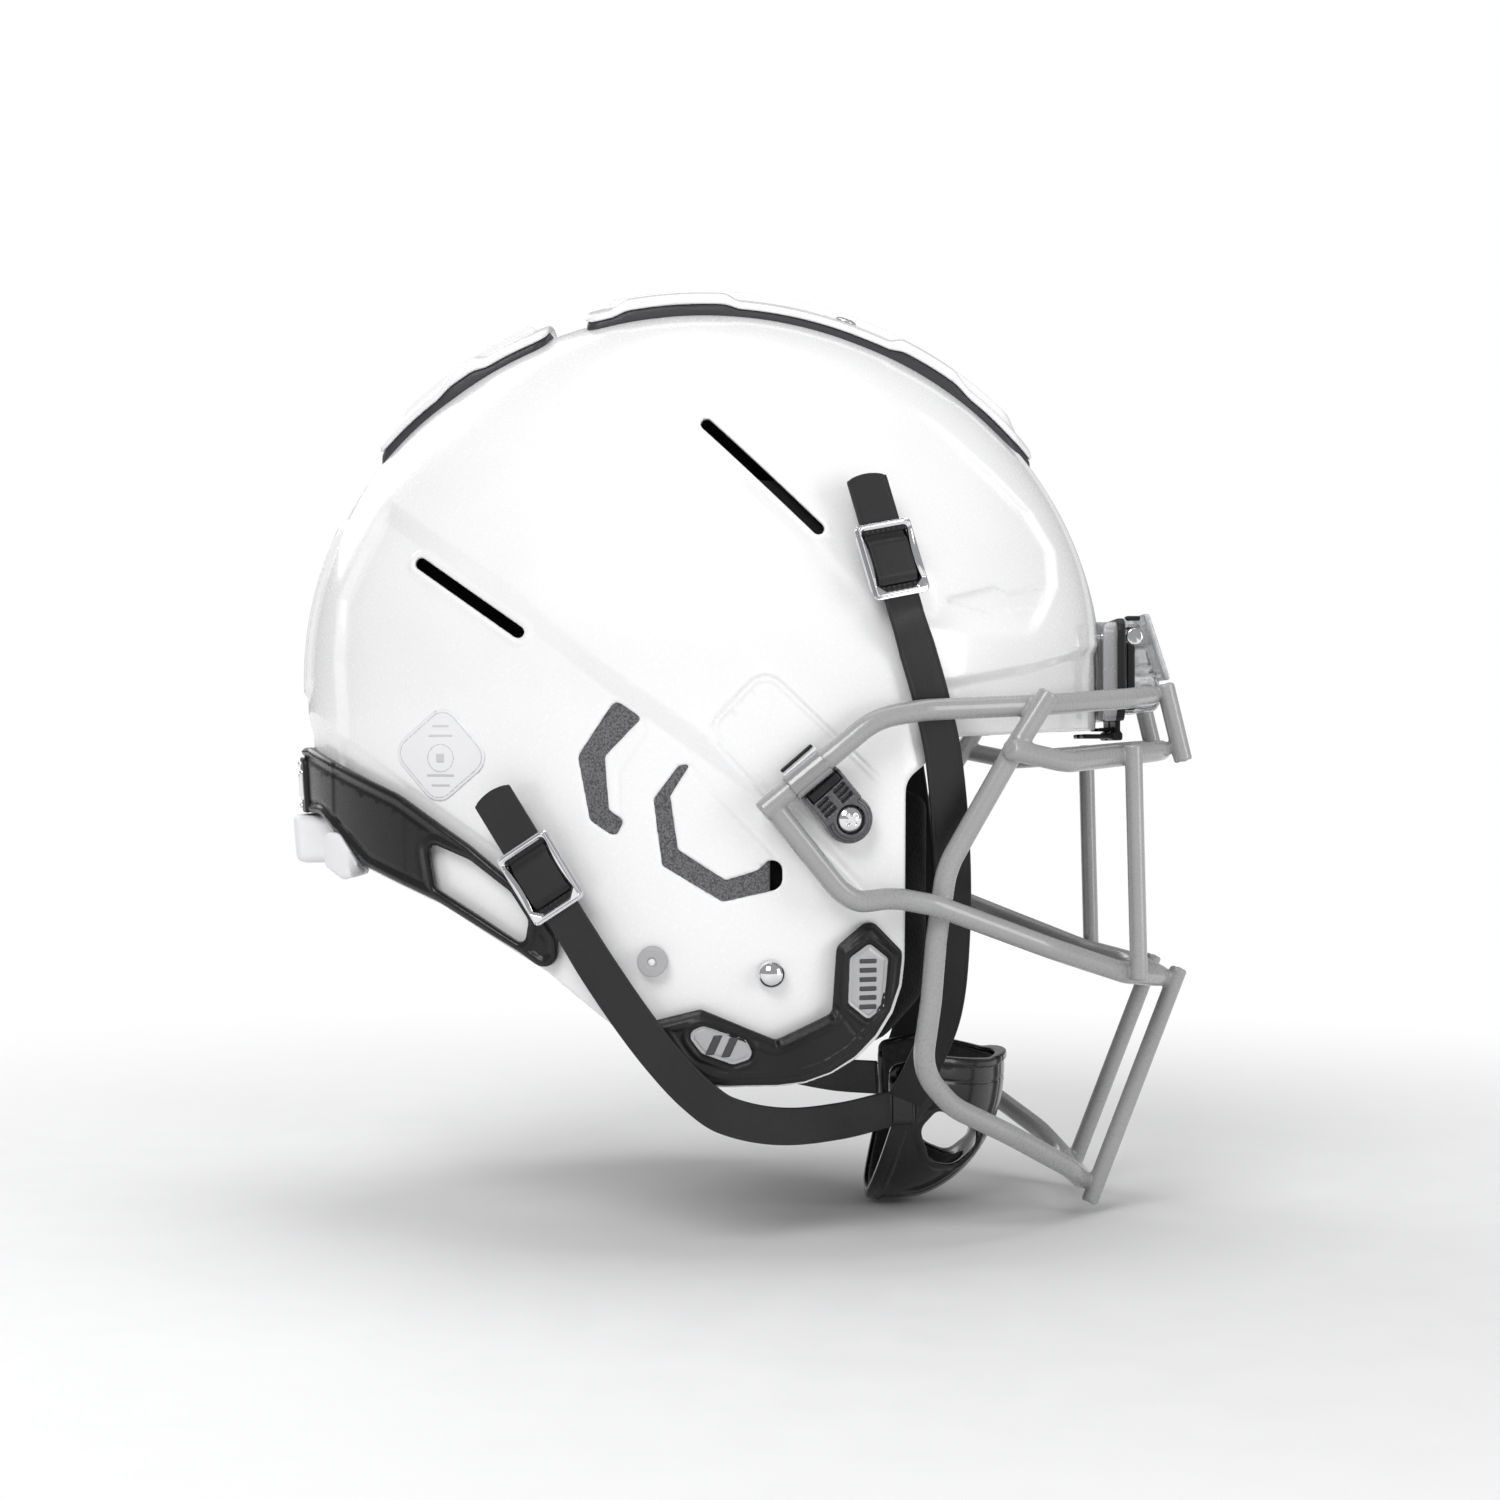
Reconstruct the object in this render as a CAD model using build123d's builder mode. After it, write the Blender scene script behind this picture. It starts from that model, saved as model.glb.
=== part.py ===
from build123d import *
from math import sqrt, tan, radians
import os

# Adult football helmet with a cage face mask, in millimetres.
# +X points forward, +Y to the wearer's left, +Z up. The origin is the centre of the head form
# that the shell fits around. Right-hand pieces lie at -Y and are mirrored to the left.

os.makedirs("parts", exist_ok=True)

# ---------------------------------------------------------------- driving dimensions
SHELL_HALF_LENGTH = 145.0
SHELL_HALF_WIDTH = 120.0
SHELL_CROWN = 135.0          # height of the crown over the origin
SHELL_SKIRT = 320.0          # vertical semi-axis of the slowly narrowing lower half
SHELL_WALL = 3.5

HEAD_HALF_LENGTH = 101.0     # the space that the padding leaves
HEAD_HALF_WIDTH = 79.0
HEAD_CROWN = 106.0
HEAD_SKIRT = 300.0

SKIN_GAP = 0.15              # between the shell and what is fixed flat on it
PAD_GAP = 0.4                # between the shell and its padding
MOVE_GAP = 0.3               # between pieces that move past each other

WIRE_R = 3.6                 # main wires of the mask, coated
BROW_WIRE_R = 3.0
UPRIGHT_WIRE_R = 2.8
MASK_PIVOT = (160.0, -6.5)   # X and Z of the mask's top bar where the front clips hold it

PLATE_FLOAT = 1.0            # how far a crown plate can be pushed in
CUSHION_TOP = 1.2            # over the shell's surface
PLATE_UNDER = CUSHION_TOP + PLATE_FLOAT + MOVE_GAP
PLATE_TOP = PLATE_UNDER + 2.1
PLATE_HOLE_R = 3.5           # round the plate screws, which stand at different angles

STRAP_WIDTH = 12.8
STRAP_THICK = 1.6
BUCKLE_LENGTH = 25.5
BUCKLE_WIDTH = 18.2
SNAP_R = 3.3                 # dome of a snap stud

STUD_SHANK_R = 2.4
STUD_FLANGE_R = 5.0
CLIP_NUT_R = 4.0             # barrel of the nut behind each side clip
SCREW_R = 2.4
SCREW_HEAD_R = 4.2
FRONT_CLIP_Y = 18.0          # centre of each front clip
BUMPER_SCREW_Z = 15.0

SIDE_CLIP_SCREW = (48.1, -48.2)      # X and Z
SIDE_CLIP_WIRE = (35.7, -34.3)       # X and Z of the wire in the middle of the side clip
UPPER_SNAP = (60.8, 34.9)            # X and Z of the studs that the buckles snap on
LOWER_SNAP = (-49.0, -66.9)
SPARE_SNAP = (24.2, -99.6)
RIVET = (-15.0, -95.2)
STUD_PLACES = (UPPER_SNAP, LOWER_SNAP, SPARE_SNAP, RIVET)
UPPER_STRAP_DIRECTION = (0.211, -0.977)
LOWER_STRAP_DIRECTION = (0.55, -0.835)

WORLD = 400.0                # longer than the helmet, for cuts right through it


# ---------------------------------------------------------------- helpers
def save(part, name):
    """Label one finished piece and write it."""
    part.label = name
    export_step(part, f"parts/{name}.step")


def save_pair(part, name):
    """Write a right-hand piece and its mirror image."""
    save(part, f"right_{name}")
    save(mirror(part, about=Plane.XZ), f"left_{name}")


def egg(half_length, half_width, crown, skirt):
    """An upper and a lower half ellipsoid that share one rim line."""
    unit = 100.0
    upper = split(Sphere(unit), bisect_by=Plane.XY, keep=Keep.TOP)
    lower = split(Sphere(unit), bisect_by=Plane.XY, keep=Keep.BOTTOM)
    lower = split(lower, bisect_by=Plane.XY.offset(-0.7 * unit), keep=Keep.TOP)
    across = (half_length / unit, half_width / unit)
    return scale(upper, by=(*across, crown / unit)) + scale(lower, by=(*across, skirt / unit))


def dome(grow):
    """The shell's outer form, grown outwards by a distance."""
    return egg(SHELL_HALF_LENGTH + grow, SHELL_HALF_WIDTH + grow, SHELL_CROWN + grow, SHELL_SKIRT + grow)


def skin(outer, inner):
    """A layer that follows the shell between two distances from its surface."""
    return dome(outer) - dome(inner)


def surface_plane(place, side, lift=0.0, along=(1, 0)):
    """A plane that touches the shell at (x, z) on one side, its normal outwards.

    side is -1 on the right and 1 on the left; along is its X direction, given as x and z.
    """
    x, z = place
    height = SHELL_CROWN if z > 0 else SHELL_SKIRT
    spread = 1 - (x / SHELL_HALF_LENGTH) ** 2 - (z / height) ** 2
    y = side * SHELL_HALF_WIDTH * sqrt(spread)
    normal = Vector(x / SHELL_HALF_LENGTH**2, y / SHELL_HALF_WIDTH**2, z / height**2).normalized()
    direction = Vector(along[0], 0, along[1])
    direction = direction - normal * direction.dot(normal)
    return Plane(origin=Vector(x, y, z) + normal * lift, x_dir=direction, z_dir=normal)


def outline(*corners):
    """A closed face in a sketch's own plane, from (x, y, corner radius) corners."""
    with BuildSketch() as face:
        with BuildLine():
            FilletPolyline(*[(x, y) for x, y, _ in corners], radius=[r for _, _, r in corners], close=True)
        make_face()
    return face.sketch


def slot(start, end, width):
    """A round-ended slot between two centres."""
    with BuildSketch() as face:
        middle = ((start[0] + end[0]) / 2, (start[1] + end[1]) / 2)
        SlotCenterPoint(middle, end, width)
    return face.sketch


def both_sides(route):
    """A right-hand route continued by its mirror image."""
    return route + [(x, -y, z) for x, y, z in reversed(route)]


def bend_radii(points, largest):
    """The largest bend that the shorter neighbouring run allows, at each inner point."""
    radii = []
    for before, here, after in zip(points, points[1:], points[2:]):
        run_in = Vector(*here) - Vector(*before)
        run_out = Vector(*after) - Vector(*here)
        turn = radians(run_in.get_angle(run_out))
        room = 0.45 * min(run_in.length, run_out.length) / tan(turn / 2)
        radii.append(min(room, largest))
    return radii


def wire(points, radius, bend=30.0):
    """A round wire bent along a route, with softened ends."""
    with BuildPart() as bar:
        with BuildLine() as path:
            if len(points) == 2:
                Line(*points)
            else:
                FilletPolyline(*points, radius=bend_radii(points, bend))
        with BuildSketch(Plane(origin=path.line @ 0, z_dir=path.line % 0)):
            Circle(radius)
        sweep()
        fillet(bar.edges().filter_by(GeomType.CIRCLE).filter_by(lambda e: e.length < 6.4 * radius), 0.8)
    return bar.part


def ribbon(stations):
    """A flat strap through (point, outward direction) stations, each a section of the strap."""
    points = [Vector(*point) for point, _ in stations]
    with BuildPart() as strap:
        for number, (_, outward) in enumerate(stations):
            before = points[max(number - 1, 0)]
            after = points[min(number + 1, len(points) - 1)]
            tangent = (after - before).normalized()
            out = Vector(*outward)
            out = (out - tangent * out.dot(tangent)).normalized()
            with BuildSketch(Plane(origin=points[number], x_dir=tangent.cross(out), z_dir=tangent)):
                Rectangle(STRAP_WIDTH, STRAP_THICK)
        loft(ruled=True)
    return strap.part


# ---------------------------------------------------------------- outlines seen from the right
# Each corner is x, z and the radius that rounds it.
SHELL_OUTLINE = outline(
    (WORLD, -18.5, 0), (146, -18.5, 0), (86, -21.5, 11), (68.5, -36, 8), (68.5, -137.5, 42), (-3, -137.5, 24),
    (-50, -99.5, 20), (-86, -78.5, 40), (-130, -61, 12), (-141, -50, 3), (-WORLD, -50, 0),
    (-WORLD, WORLD, 0), (WORLD, WORLD, 0),
)
REAR_EAR_SLOT = outline(
    (-20, -14, 0.5), (-27, -11, 0.5), (-39.3, -28, 3), (-35.3, -50, 2.5),
    (-28, -54, 1.5), (-24.3, -48.5, 1.5), (-29.8, -45, 1), (-31, -27.5, 1),
)
FRONT_EAR_SLOT = outline(
    (-3.2, -31, 0), (-5.2, -31.5, 0), (-14, -42, 0), (-11.5, -63.5, 0), (8, -75.5, 0),
    (27, -70, 0), (27, -61, 0), (23.5, -64, 0), (9, -68.5, 0), (-6.5, -58.5, 0), (-9, -41, 0),
)
UPPER_VENT = slot((2.5, 83), (39.5, 47), 3.4)
REAR_VENT = slot((-92.5, 35), (-59.5, 13), 3.4)
EAR_FOAM_OUTLINE = outline(
    (-22, -6, 4), (-44, -26, 6), (-40, -56, 6), (8, -82, 6), (33, -72, 6), (33, -56, 6), (2, -24, 4),
)
JAW_GUARD_OUTLINE = outline(
    (-16, -115, 1), (0.9, -110.7, 3), (25.5, -121.2, 3), (44, -112.6, 3), (45.4, -90.5, 4),
    (56.5, -81.2, 4), (67.4, -92.6, 2), (67.4, -136.2, 41), (-2.5, -136.2, 20),
)
BAND_OUTLINE = outline(
    (-WORLD, -25, 0), (-140, -25, 0), (-101.3, -41, 30), (-76, -57.5, 30), (-56, -73.5, 12),
    (-46, -87.5, 4), (-46, -102, 5), (-59.5, -92.6, 20), (-87, -77, 40), (-131, -59, 12),
    (-141, -49.4, 3), (-WORLD, -49.4, 0),
)
BELOW_NAPE = outline(
    (-WORLD, -50.8, 0), (-141.5, -50.8, 0), (-130.4, -61.8, 0), (-90, -77.9, 0),
    (-90, -95, 0), (-WORLD, -95, 0),
)
BAND_WINDOW = outline(
    (-91, -56.6, 2), (-76, -62.5, 10), (-62, -72.8, 5), (-56, -82, 3), (-57.4, -90.6, 2),
    (-73, -81, 20), (-88.5, -72, 3),
)
FRONT_BADGE_OUTLINE = outline(
    (49.5, -94, 0), (56.3, -89.2, 2), (63, -94.6, 0), (61.7, -111, 2), (56, -115.4, 2), (49, -109.5, 0),
)
REAR_BADGE_OUTLINE = outline(
    (-4.4, -118.5, 2), (1.5, -115.7, 3), (16, -120.2, 3), (18.8, -127, 2), (11.5, -129.3, 3), (1, -125.4, 3),
)
LABEL_OUTLINE = outline((-86.4, -11.8, 4), (-103.5, -27.6, 4), (-86.6, -43.4, 4), (-70, -27.6, 4))
JAW_PAD_OUTLINE = outline(
    (14, -34, 8), (58, -34, 6), (77, -42, 6), (77, -108, 12), (62, -124, 12), (24, -131, 10), (10, -112, 10),
)

# ---------------------------------------------------------------- shell
FRONT_SCREW_PLANES = [
    Plane(origin=(SHELL_HALF_LENGTH, y, BUMPER_SCREW_Z), z_dir=(1, 0, 0))
    for y in (-FRONT_CLIP_Y, FRONT_CLIP_Y)
]
outer_form = dome(0)
inner_form = dome(-SHELL_WALL)
with BuildPart() as shell:
    add(outer_form)
    add(inner_form, mode=Mode.SUBTRACT)
    with BuildSketch(Plane.XZ):
        add(SHELL_OUTLINE)
    extrude(amount=WORLD, both=True, mode=Mode.INTERSECT)
    with BuildSketch(Plane.XZ):
        add([REAR_EAR_SLOT, FRONT_EAR_SLOT, UPPER_VENT, REAR_VENT])
    extrude(amount=WORLD, both=True, mode=Mode.SUBTRACT)
    for side in (-1, 1):
        with Locations(surface_plane(SIDE_CLIP_SCREW, side)):
            Hole(CLIP_NUT_R + SKIN_GAP, depth=8)
        for place in STUD_PLACES:
            with Locations(surface_plane(place, side)):
                Hole(STUD_SHANK_R + SKIN_GAP, depth=8)
    with Locations(*FRONT_SCREW_PLANES):
        Hole(SCREW_R + SKIN_GAP, depth=10)
save(shell.part, "shell")

# ---------------------------------------------------------------- crown plates on their cushions
FRONT_PLATE_PLAN = outline(
    (-42, -37, 6), (58, -34, 40), (113, -22, 8), (120, -12, 6), (120, 12, 6),
    (113, 22, 8), (58, 34, 40), (-42, 37, 6),
)
REAR_PLATE_PLAN = outline(
    (-117, -24, 8), (-90, -35, 20), (-55, -37, 6), (-55, 37, 6), (-90, 35, 20), (-117, 24, 8),
)
FRONT_PLATE_SCREWS = ((-28, 0), (50, -20), (50, 20), (98, 0))
REAR_PLATE_SCREWS = ((-64, 0), (-103, 0))


def crown_plane(x, y, lift=0.0):
    """A plane that touches the crown over (x, y), its normal outwards."""
    spread = 1 - (x / SHELL_HALF_LENGTH) ** 2 - (y / SHELL_HALF_WIDTH) ** 2
    z = SHELL_CROWN * sqrt(spread)
    normal = Vector(x / SHELL_HALF_LENGTH**2, y / SHELL_HALF_WIDTH**2, z / SHELL_CROWN**2).normalized()
    return Plane(origin=Vector(x, y, z) + normal * lift, z_dir=normal)


plate_layer = skin(PLATE_TOP, PLATE_UNDER)
cushion_layer = skin(CUSHION_TOP, SKIN_GAP)
for name, plan, screws in (
    ("front", FRONT_PLATE_PLAN, FRONT_PLATE_SCREWS),
    ("rear", REAR_PLATE_PLAN, REAR_PLATE_SCREWS),
):
    screw_planes = [crown_plane(x, y) for x, y in screws]
    with BuildPart() as plate:
        add(plate_layer)
        with BuildSketch(Plane.XY):
            add(plan)
        extrude(amount=WORLD, mode=Mode.INTERSECT)
        with Locations(*screw_planes):
            Hole(PLATE_HOLE_R, depth=10)
    save(plate.part, f"{name}_crown_plate")

    with BuildPart() as cushion:
        add(cushion_layer)
        with BuildSketch(Plane.XY):
            add(plan)
        extrude(amount=WORLD, mode=Mode.INTERSECT)
        with Locations(*screw_planes):
            Hole(SCREW_R + MOVE_GAP, depth=10)
    save(cushion.part, f"{name}_crown_cushion")

PLATE_SCREW_HEAD = 1.2
with BuildPart() as plate_screws:
    for x, y in FRONT_PLATE_SCREWS + REAR_PLATE_SCREWS:
        with BuildSketch(crown_plane(x, y, SKIN_GAP)):
            Circle(SCREW_R)
        extrude(amount=PLATE_TOP)
        with BuildSketch(crown_plane(x, y, PLATE_TOP + SKIN_GAP)):
            Circle(SCREW_HEAD_R)
        extrude(amount=PLATE_SCREW_HEAD)
save(plate_screws.part, "plate_screws")

# ---------------------------------------------------------------- nape: band, badge and edge blocks
BAND_THICK = 2.2
NAPE_FLOOR = -65.0
NAPE_BLOCK_EDGES = (-64.0, -31.0, 31.0, 64.0)

rear_band_layer = skin(BAND_THICK, SKIN_GAP)
with BuildPart() as rear_band:
    add(rear_band_layer)
    with BuildSketch(Plane.XZ):
        add(BAND_OUTLINE)
        add(BAND_WINDOW, mode=Mode.SUBTRACT)
    extrude(amount=WORLD, both=True, mode=Mode.INTERSECT)
save(rear_band.part, "rear_band")

rear_badge_layer = skin(BAND_THICK + 2.1, BAND_THICK + SKIN_GAP)
with BuildPart() as rear_badge:
    add(rear_badge_layer)
    with BuildSketch(Plane.YZ.offset(-WORLD)):
        with Locations((0, -38.5)):
            RectangleRounded(62, 20, 3)
    extrude(amount=WORLD, mode=Mode.INTERSECT)
save(rear_badge.part, "rear_badge")

nape_layer = skin(1.0, -8.5)
with BuildPart() as nape_blocks:
    add(nape_layer)
    with BuildSketch(Plane.YZ.offset(-WORLD)):
        for start, end in zip(NAPE_BLOCK_EDGES, NAPE_BLOCK_EDGES[1:]):
            with Locations(((start + end) / 2, NAPE_FLOOR + 20 - abs(start + end) / 15)):
                RectangleRounded(end - start - 1.0, 40, 3)
    extrude(amount=WORLD - 60, mode=Mode.INTERSECT)
    with BuildSketch(Plane.XZ):
        add(BELOW_NAPE)
    extrude(amount=WORLD, both=True, mode=Mode.INTERSECT)
save(nape_blocks.part, "nape_blocks")

# ---------------------------------------------------------------- jaw guards and blank badges
GUARD_THICK = 2.6
jaw_guard_layer = skin(GUARD_THICK, SKIN_GAP)
with BuildPart() as jaw_guard:
    add(jaw_guard_layer)
    with BuildSketch(Plane.XZ):
        add(JAW_GUARD_OUTLINE)
    extrude(amount=WORLD, mode=Mode.INTERSECT)
save_pair(jaw_guard.part, "jaw_guard")

jaw_badges_layer = skin(GUARD_THICK + 0.9, GUARD_THICK + SKIN_GAP)
with BuildPart() as jaw_badges:
    add(jaw_badges_layer)
    with BuildSketch(Plane.XZ):
        add([FRONT_BADGE_OUTLINE, REAR_BADGE_OUTLINE])
    extrude(amount=WORLD, both=True, mode=Mode.INTERSECT)
save(jaw_badges.part, "jaw_badges")

side_labels_layer = skin(0.4, SKIN_GAP)
with BuildPart() as side_labels:
    add(side_labels_layer)
    with BuildSketch(Plane.XZ):
        add(LABEL_OUTLINE)
    extrude(amount=WORLD, both=True, mode=Mode.INTERSECT)
save(side_labels.part, "side_labels")

# ---------------------------------------------------------------- studs in the shell
STUD_FLANGE = 0.9
STUD_LIFT = 0.2


def stud(place, side, flange_r, dome_r):
    """A rivet through the shell: shank, flange and, for a snap, its dome."""
    with BuildPart() as rivet:
        with BuildSketch(surface_plane(place, side, -SHELL_WALL - 1.2)):
            Circle(STUD_SHANK_R)
        extrude(amount=SHELL_WALL + 1.2 + STUD_LIFT)
        with BuildSketch(surface_plane(place, side, STUD_LIFT)):
            Circle(flange_r)
        extrude(amount=STUD_FLANGE)
        if dome_r:
            top = surface_plane(place, side, STUD_LIFT + STUD_FLANGE)
            with BuildSketch(top):
                Circle(dome_r)
            extrude(amount=2.4)
            fillet(rivet.faces().sort_by_distance(top.origin + top.z_dir * 9)[0].edges(), 1.0)
    return rivet.part


snaps = [
    stud(place, side, STUD_FLANGE_R, SNAP_R)
    for place in (UPPER_SNAP, LOWER_SNAP, SPARE_SNAP)
    for side in (-1, 1)
]
with BuildPart() as snap_studs:
    add(snaps)
save(snap_studs.part, "snap_studs")

rivets = [stud(RIVET, side, STUD_FLANGE_R - 0.2, 0) for side in (-1, 1)]
with BuildPart() as pad_rivets:
    add(rivets)
save(pad_rivets.part, "pad_rivets")

# ---------------------------------------------------------------- padding
HEAD_FORM = egg(HEAD_HALF_LENGTH, HEAD_HALF_WIDTH, HEAD_CROWN, HEAD_SKIRT)
pad_layer = dome(-SHELL_WALL - PAD_GAP) - HEAD_FORM
CROWN_PAD_FLOOR = 66.0

with BuildPart() as crown_pad:
    add(pad_layer)
    with BuildSketch(Plane.XY.offset(CROWN_PAD_FLOOR)):
        Ellipse(96, 80)
    extrude(amount=WORLD, mode=Mode.INTERSECT)
save(crown_pad.part, "crown_pad")

SIDE_PAD_OUTLINE = outline((-44, -2, 8), (52, -2, 8), (52, 64.5, 12), (-44, 64.5, 12))
with BuildPart() as side_pad:
    add(pad_layer)
    with BuildSketch(Plane.XZ.offset(45)):
        add(SIDE_PAD_OUTLINE)
    extrude(amount=WORLD, mode=Mode.INTERSECT)
save_pair(side_pad.part, "side_pad")

with BuildPart() as front_pad:
    add(pad_layer)
    with BuildSketch(Plane.YZ.offset(54)):
        with Locations((0, 25)):
            RectangleRounded(126, 79, 12)
    extrude(amount=WORLD, mode=Mode.INTERSECT)
    with Locations(*FRONT_SCREW_PLANES):
        Hole(7, depth=14)
save(front_pad.part, "front_pad")

with BuildPart() as back_pad:
    add(pad_layer)
    with BuildSketch(Plane.YZ.offset(-WORLD)):
        with Locations((0, 30)):
            RectangleRounded(136, 69, 12)
    extrude(amount=WORLD - 46, mode=Mode.INTERSECT)
save(back_pad.part, "back_pad")

with BuildPart() as nape_pad:
    add(pad_layer)
    with BuildSketch(Plane.YZ.offset(-WORLD)):
        with Locations((0, -28)):
            RectangleRounded(120, 42, 10)
    extrude(amount=WORLD - 62, mode=Mode.INTERSECT)
save(nape_pad.part, "nape_pad")

JAW_PAD_LIFT = 5.2           # clears the side clip's nut
jaw_space = egg(140, 74, HEAD_CROWN, HEAD_SKIRT)
jaw_pad_form = dome(-SHELL_WALL - JAW_PAD_LIFT)
with BuildPart() as jaw_pad:
    add(jaw_pad_form)
    add(jaw_space, mode=Mode.SUBTRACT)
    with BuildSketch(Plane.XZ.offset(30)):
        add(JAW_PAD_OUTLINE)
    extrude(amount=WORLD, mode=Mode.INTERSECT)
save_pair(jaw_pad.part, "jaw_pad")

ear_foam_layer = skin(-SHELL_WALL - PAD_GAP, -SHELL_WALL - 5.0)
with BuildPart() as ear_foam:
    add(ear_foam_layer)
    with BuildSketch(Plane.XZ):
        add(EAR_FOAM_OUTLINE)
    extrude(amount=WORLD, both=True, mode=Mode.INTERSECT)
save(ear_foam.part, "ear_foam")

# ---------------------------------------------------------------- front bumper and clips
PIVOT_X, PIVOT_Z = MASK_PIVOT
BUMPER_BASE_OUTER = 149.7
BASE_PLATE_THICK = 1.8
CLIP_WIDTH = 13.0
CLIP_SEAT = 157.6            # X of the screw heads' seat
CLIP_BACK = BUMPER_BASE_OUTER + BASE_PLATE_THICK + SKIN_GAP
CLIP_OUTLINE = outline(
    (CLIP_BACK, -12.6, 1), (PIVOT_X + 5.6, -12.6, 5), (PIVOT_X + 5.6, -1, 3),
    (159.2, 21.5, 1), (CLIP_BACK, 21.5, 0.5),
)

bumper_seat = dome(SKIN_GAP)
with BuildPart() as bumper_base:
    with BuildSketch(Plane.XZ) as base_side:
        with Locations((SHELL_HALF_LENGTH - 6, 2.5)):
            Rectangle(2 * (BUMPER_BASE_OUTER - SHELL_HALF_LENGTH + 6), 36.5)
    extrude(amount=28, both=True)
    fillet(bumper_base.edges().filter_by(Axis.X), 5)
    add(bumper_seat, mode=Mode.SUBTRACT)
    with Locations(*FRONT_SCREW_PLANES):
        Hole(SCREW_R + SKIN_GAP, depth=20)
save(bumper_base.part, "bumper_base")

with BuildPart() as bumper_plate:
    with BuildSketch(Plane.YZ.offset(BUMPER_BASE_OUTER + SKIN_GAP)):
        with Locations((0, 4.5)):
            RectangleRounded(60, 40, 5)
    extrude(amount=BASE_PLATE_THICK - SKIN_GAP)
    with BuildSketch(Plane.XZ):
        with Locations((145.7, -20.9)):
            Rectangle(12, 2.4)
        with Locations((150.8, -18.5)):
            Rectangle(1.8, 7.2)
    extrude(amount=17, both=True)
    with Locations(*FRONT_SCREW_PLANES):
        Hole(SCREW_R + SKIN_GAP, depth=20)
save(bumper_plate.part, "bumper_plate")

with BuildPart() as front_clips:
    for y in (-FRONT_CLIP_Y, FRONT_CLIP_Y):
        with BuildSketch(Plane.XZ.offset(-y)):
            add(CLIP_OUTLINE)
            with Locations((PIVOT_X, PIVOT_Z)):
                Circle(WIRE_R + MOVE_GAP, mode=Mode.SUBTRACT)
        extrude(amount=CLIP_WIDTH / 2, both=True)
    for plane in FRONT_SCREW_PLANES:
        with Locations(plane.offset(CLIP_SEAT - SHELL_HALF_LENGTH)):
            Hole(SCREW_R + SKIN_GAP, depth=20)
        with BuildSketch(plane.offset(CLIP_SEAT - SHELL_HALF_LENGTH)):
            Circle(SCREW_HEAD_R + 0.3)
        extrude(amount=20, mode=Mode.SUBTRACT)
save(front_clips.part, "front_clips")

SCREW_REACH = 21.0
with BuildPart() as front_screws:
    for plane in FRONT_SCREW_PLANES:
        seat = plane.offset(CLIP_SEAT - SHELL_HALF_LENGTH)
        with BuildSketch(seat):
            Circle(SCREW_R)
        extrude(amount=-SCREW_REACH)
        with BuildSketch(seat):
            Circle(SCREW_HEAD_R)
        extrude(amount=2.6)
save(front_screws.part, "front_screws")

BUMPER_COVER_OUTLINE = outline(
    (160.6, 23, 0.8), (163.2, 23, 1.2), (172.4, -0.6, 0.8), (169.2, -0.6, 0.5),
)
with BuildPart() as bumper_cover:
    with BuildSketch(Plane.XZ):
        add(BUMPER_COVER_OUTLINE)
    extrude(amount=27, both=True)
    with BuildSketch(Plane.XZ):
        with BuildLine():
            Polyline((CLIP_BACK + 0.2, 22), (162, 22), (168.5, 1), (CLIP_BACK + 0.2, 1), close=True)
        make_face()
    extrude(amount=FRONT_CLIP_Y - CLIP_WIDTH / 2 - 1, both=True)
save(bumper_cover.part, "bumper_cover")

# ---------------------------------------------------------------- face mask
UPPER_ROUTE = [
    (21, -123.8, -46), (46, -121.8, -25.5), (58, -119.5, -15.5), (74, -115, -12.8),
    (112, -97, -11), (148, -60, -8), (PIVOT_X, -38, PIVOT_Z),
]
BROW_ROUTE = [(102.3, -109, -25.6), (123, -91.5, -30), (146, -59, -28), (165, -34, -26)]
MIDDLE_ROUTE = [
    (27, -122, -47.5), (46, -119, -71.5), (52, -117.5, -75.5), (64, -114, -74.2), (78, -109.4, -77),
    (118, -90, -92.5), (147.5, -59, -103.5), (164.6, -32, -107),
]
CAGE_ROUTE = [
    (116.2, -101.8, -7), (103.5, -103, -27.2), (82, -103.4, -65), (78.7, -101.5, -89), (77.2, -99, -109.4),
    (74.2, -95.5, -133), (85, -88, -146), (105.4, -76, -157), (129.5, -46, -173), (137, -26, -180.7),
]
BROW_UPRIGHT = [(165.6, -31, -2.4), (172.2, -31, -29.8)]
EYE_UPRIGHT = [(151.2, -63.5, -24.2), (152.2, -63.5, -105.6)]
CHIN_UPRIGHT = [(171, -29, -104.2), (141.4, -29, -187.6)]

save(wire(both_sides(UPPER_ROUTE), WIRE_R), "upper_bar")
save(wire(both_sides(BROW_ROUTE), WIRE_R), "brow_bar")
save(wire(both_sides(MIDDLE_ROUTE), WIRE_R), "middle_bar")
save(wire(both_sides(CAGE_ROUTE), WIRE_R), "cage_bar")
for name, route, radius in (
    ("brow_uprights", BROW_UPRIGHT, BROW_WIRE_R),
    ("eye_uprights", EYE_UPRIGHT, UPRIGHT_WIRE_R),
    ("chin_uprights", CHIN_UPRIGHT, UPRIGHT_WIRE_R),
):
    right_bar = wire(route, radius)
    left_bar = mirror(right_bar, about=Plane.XZ)
    with BuildPart() as pair:
        add([right_bar, left_bar])
    save(pair.part, name)

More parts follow.
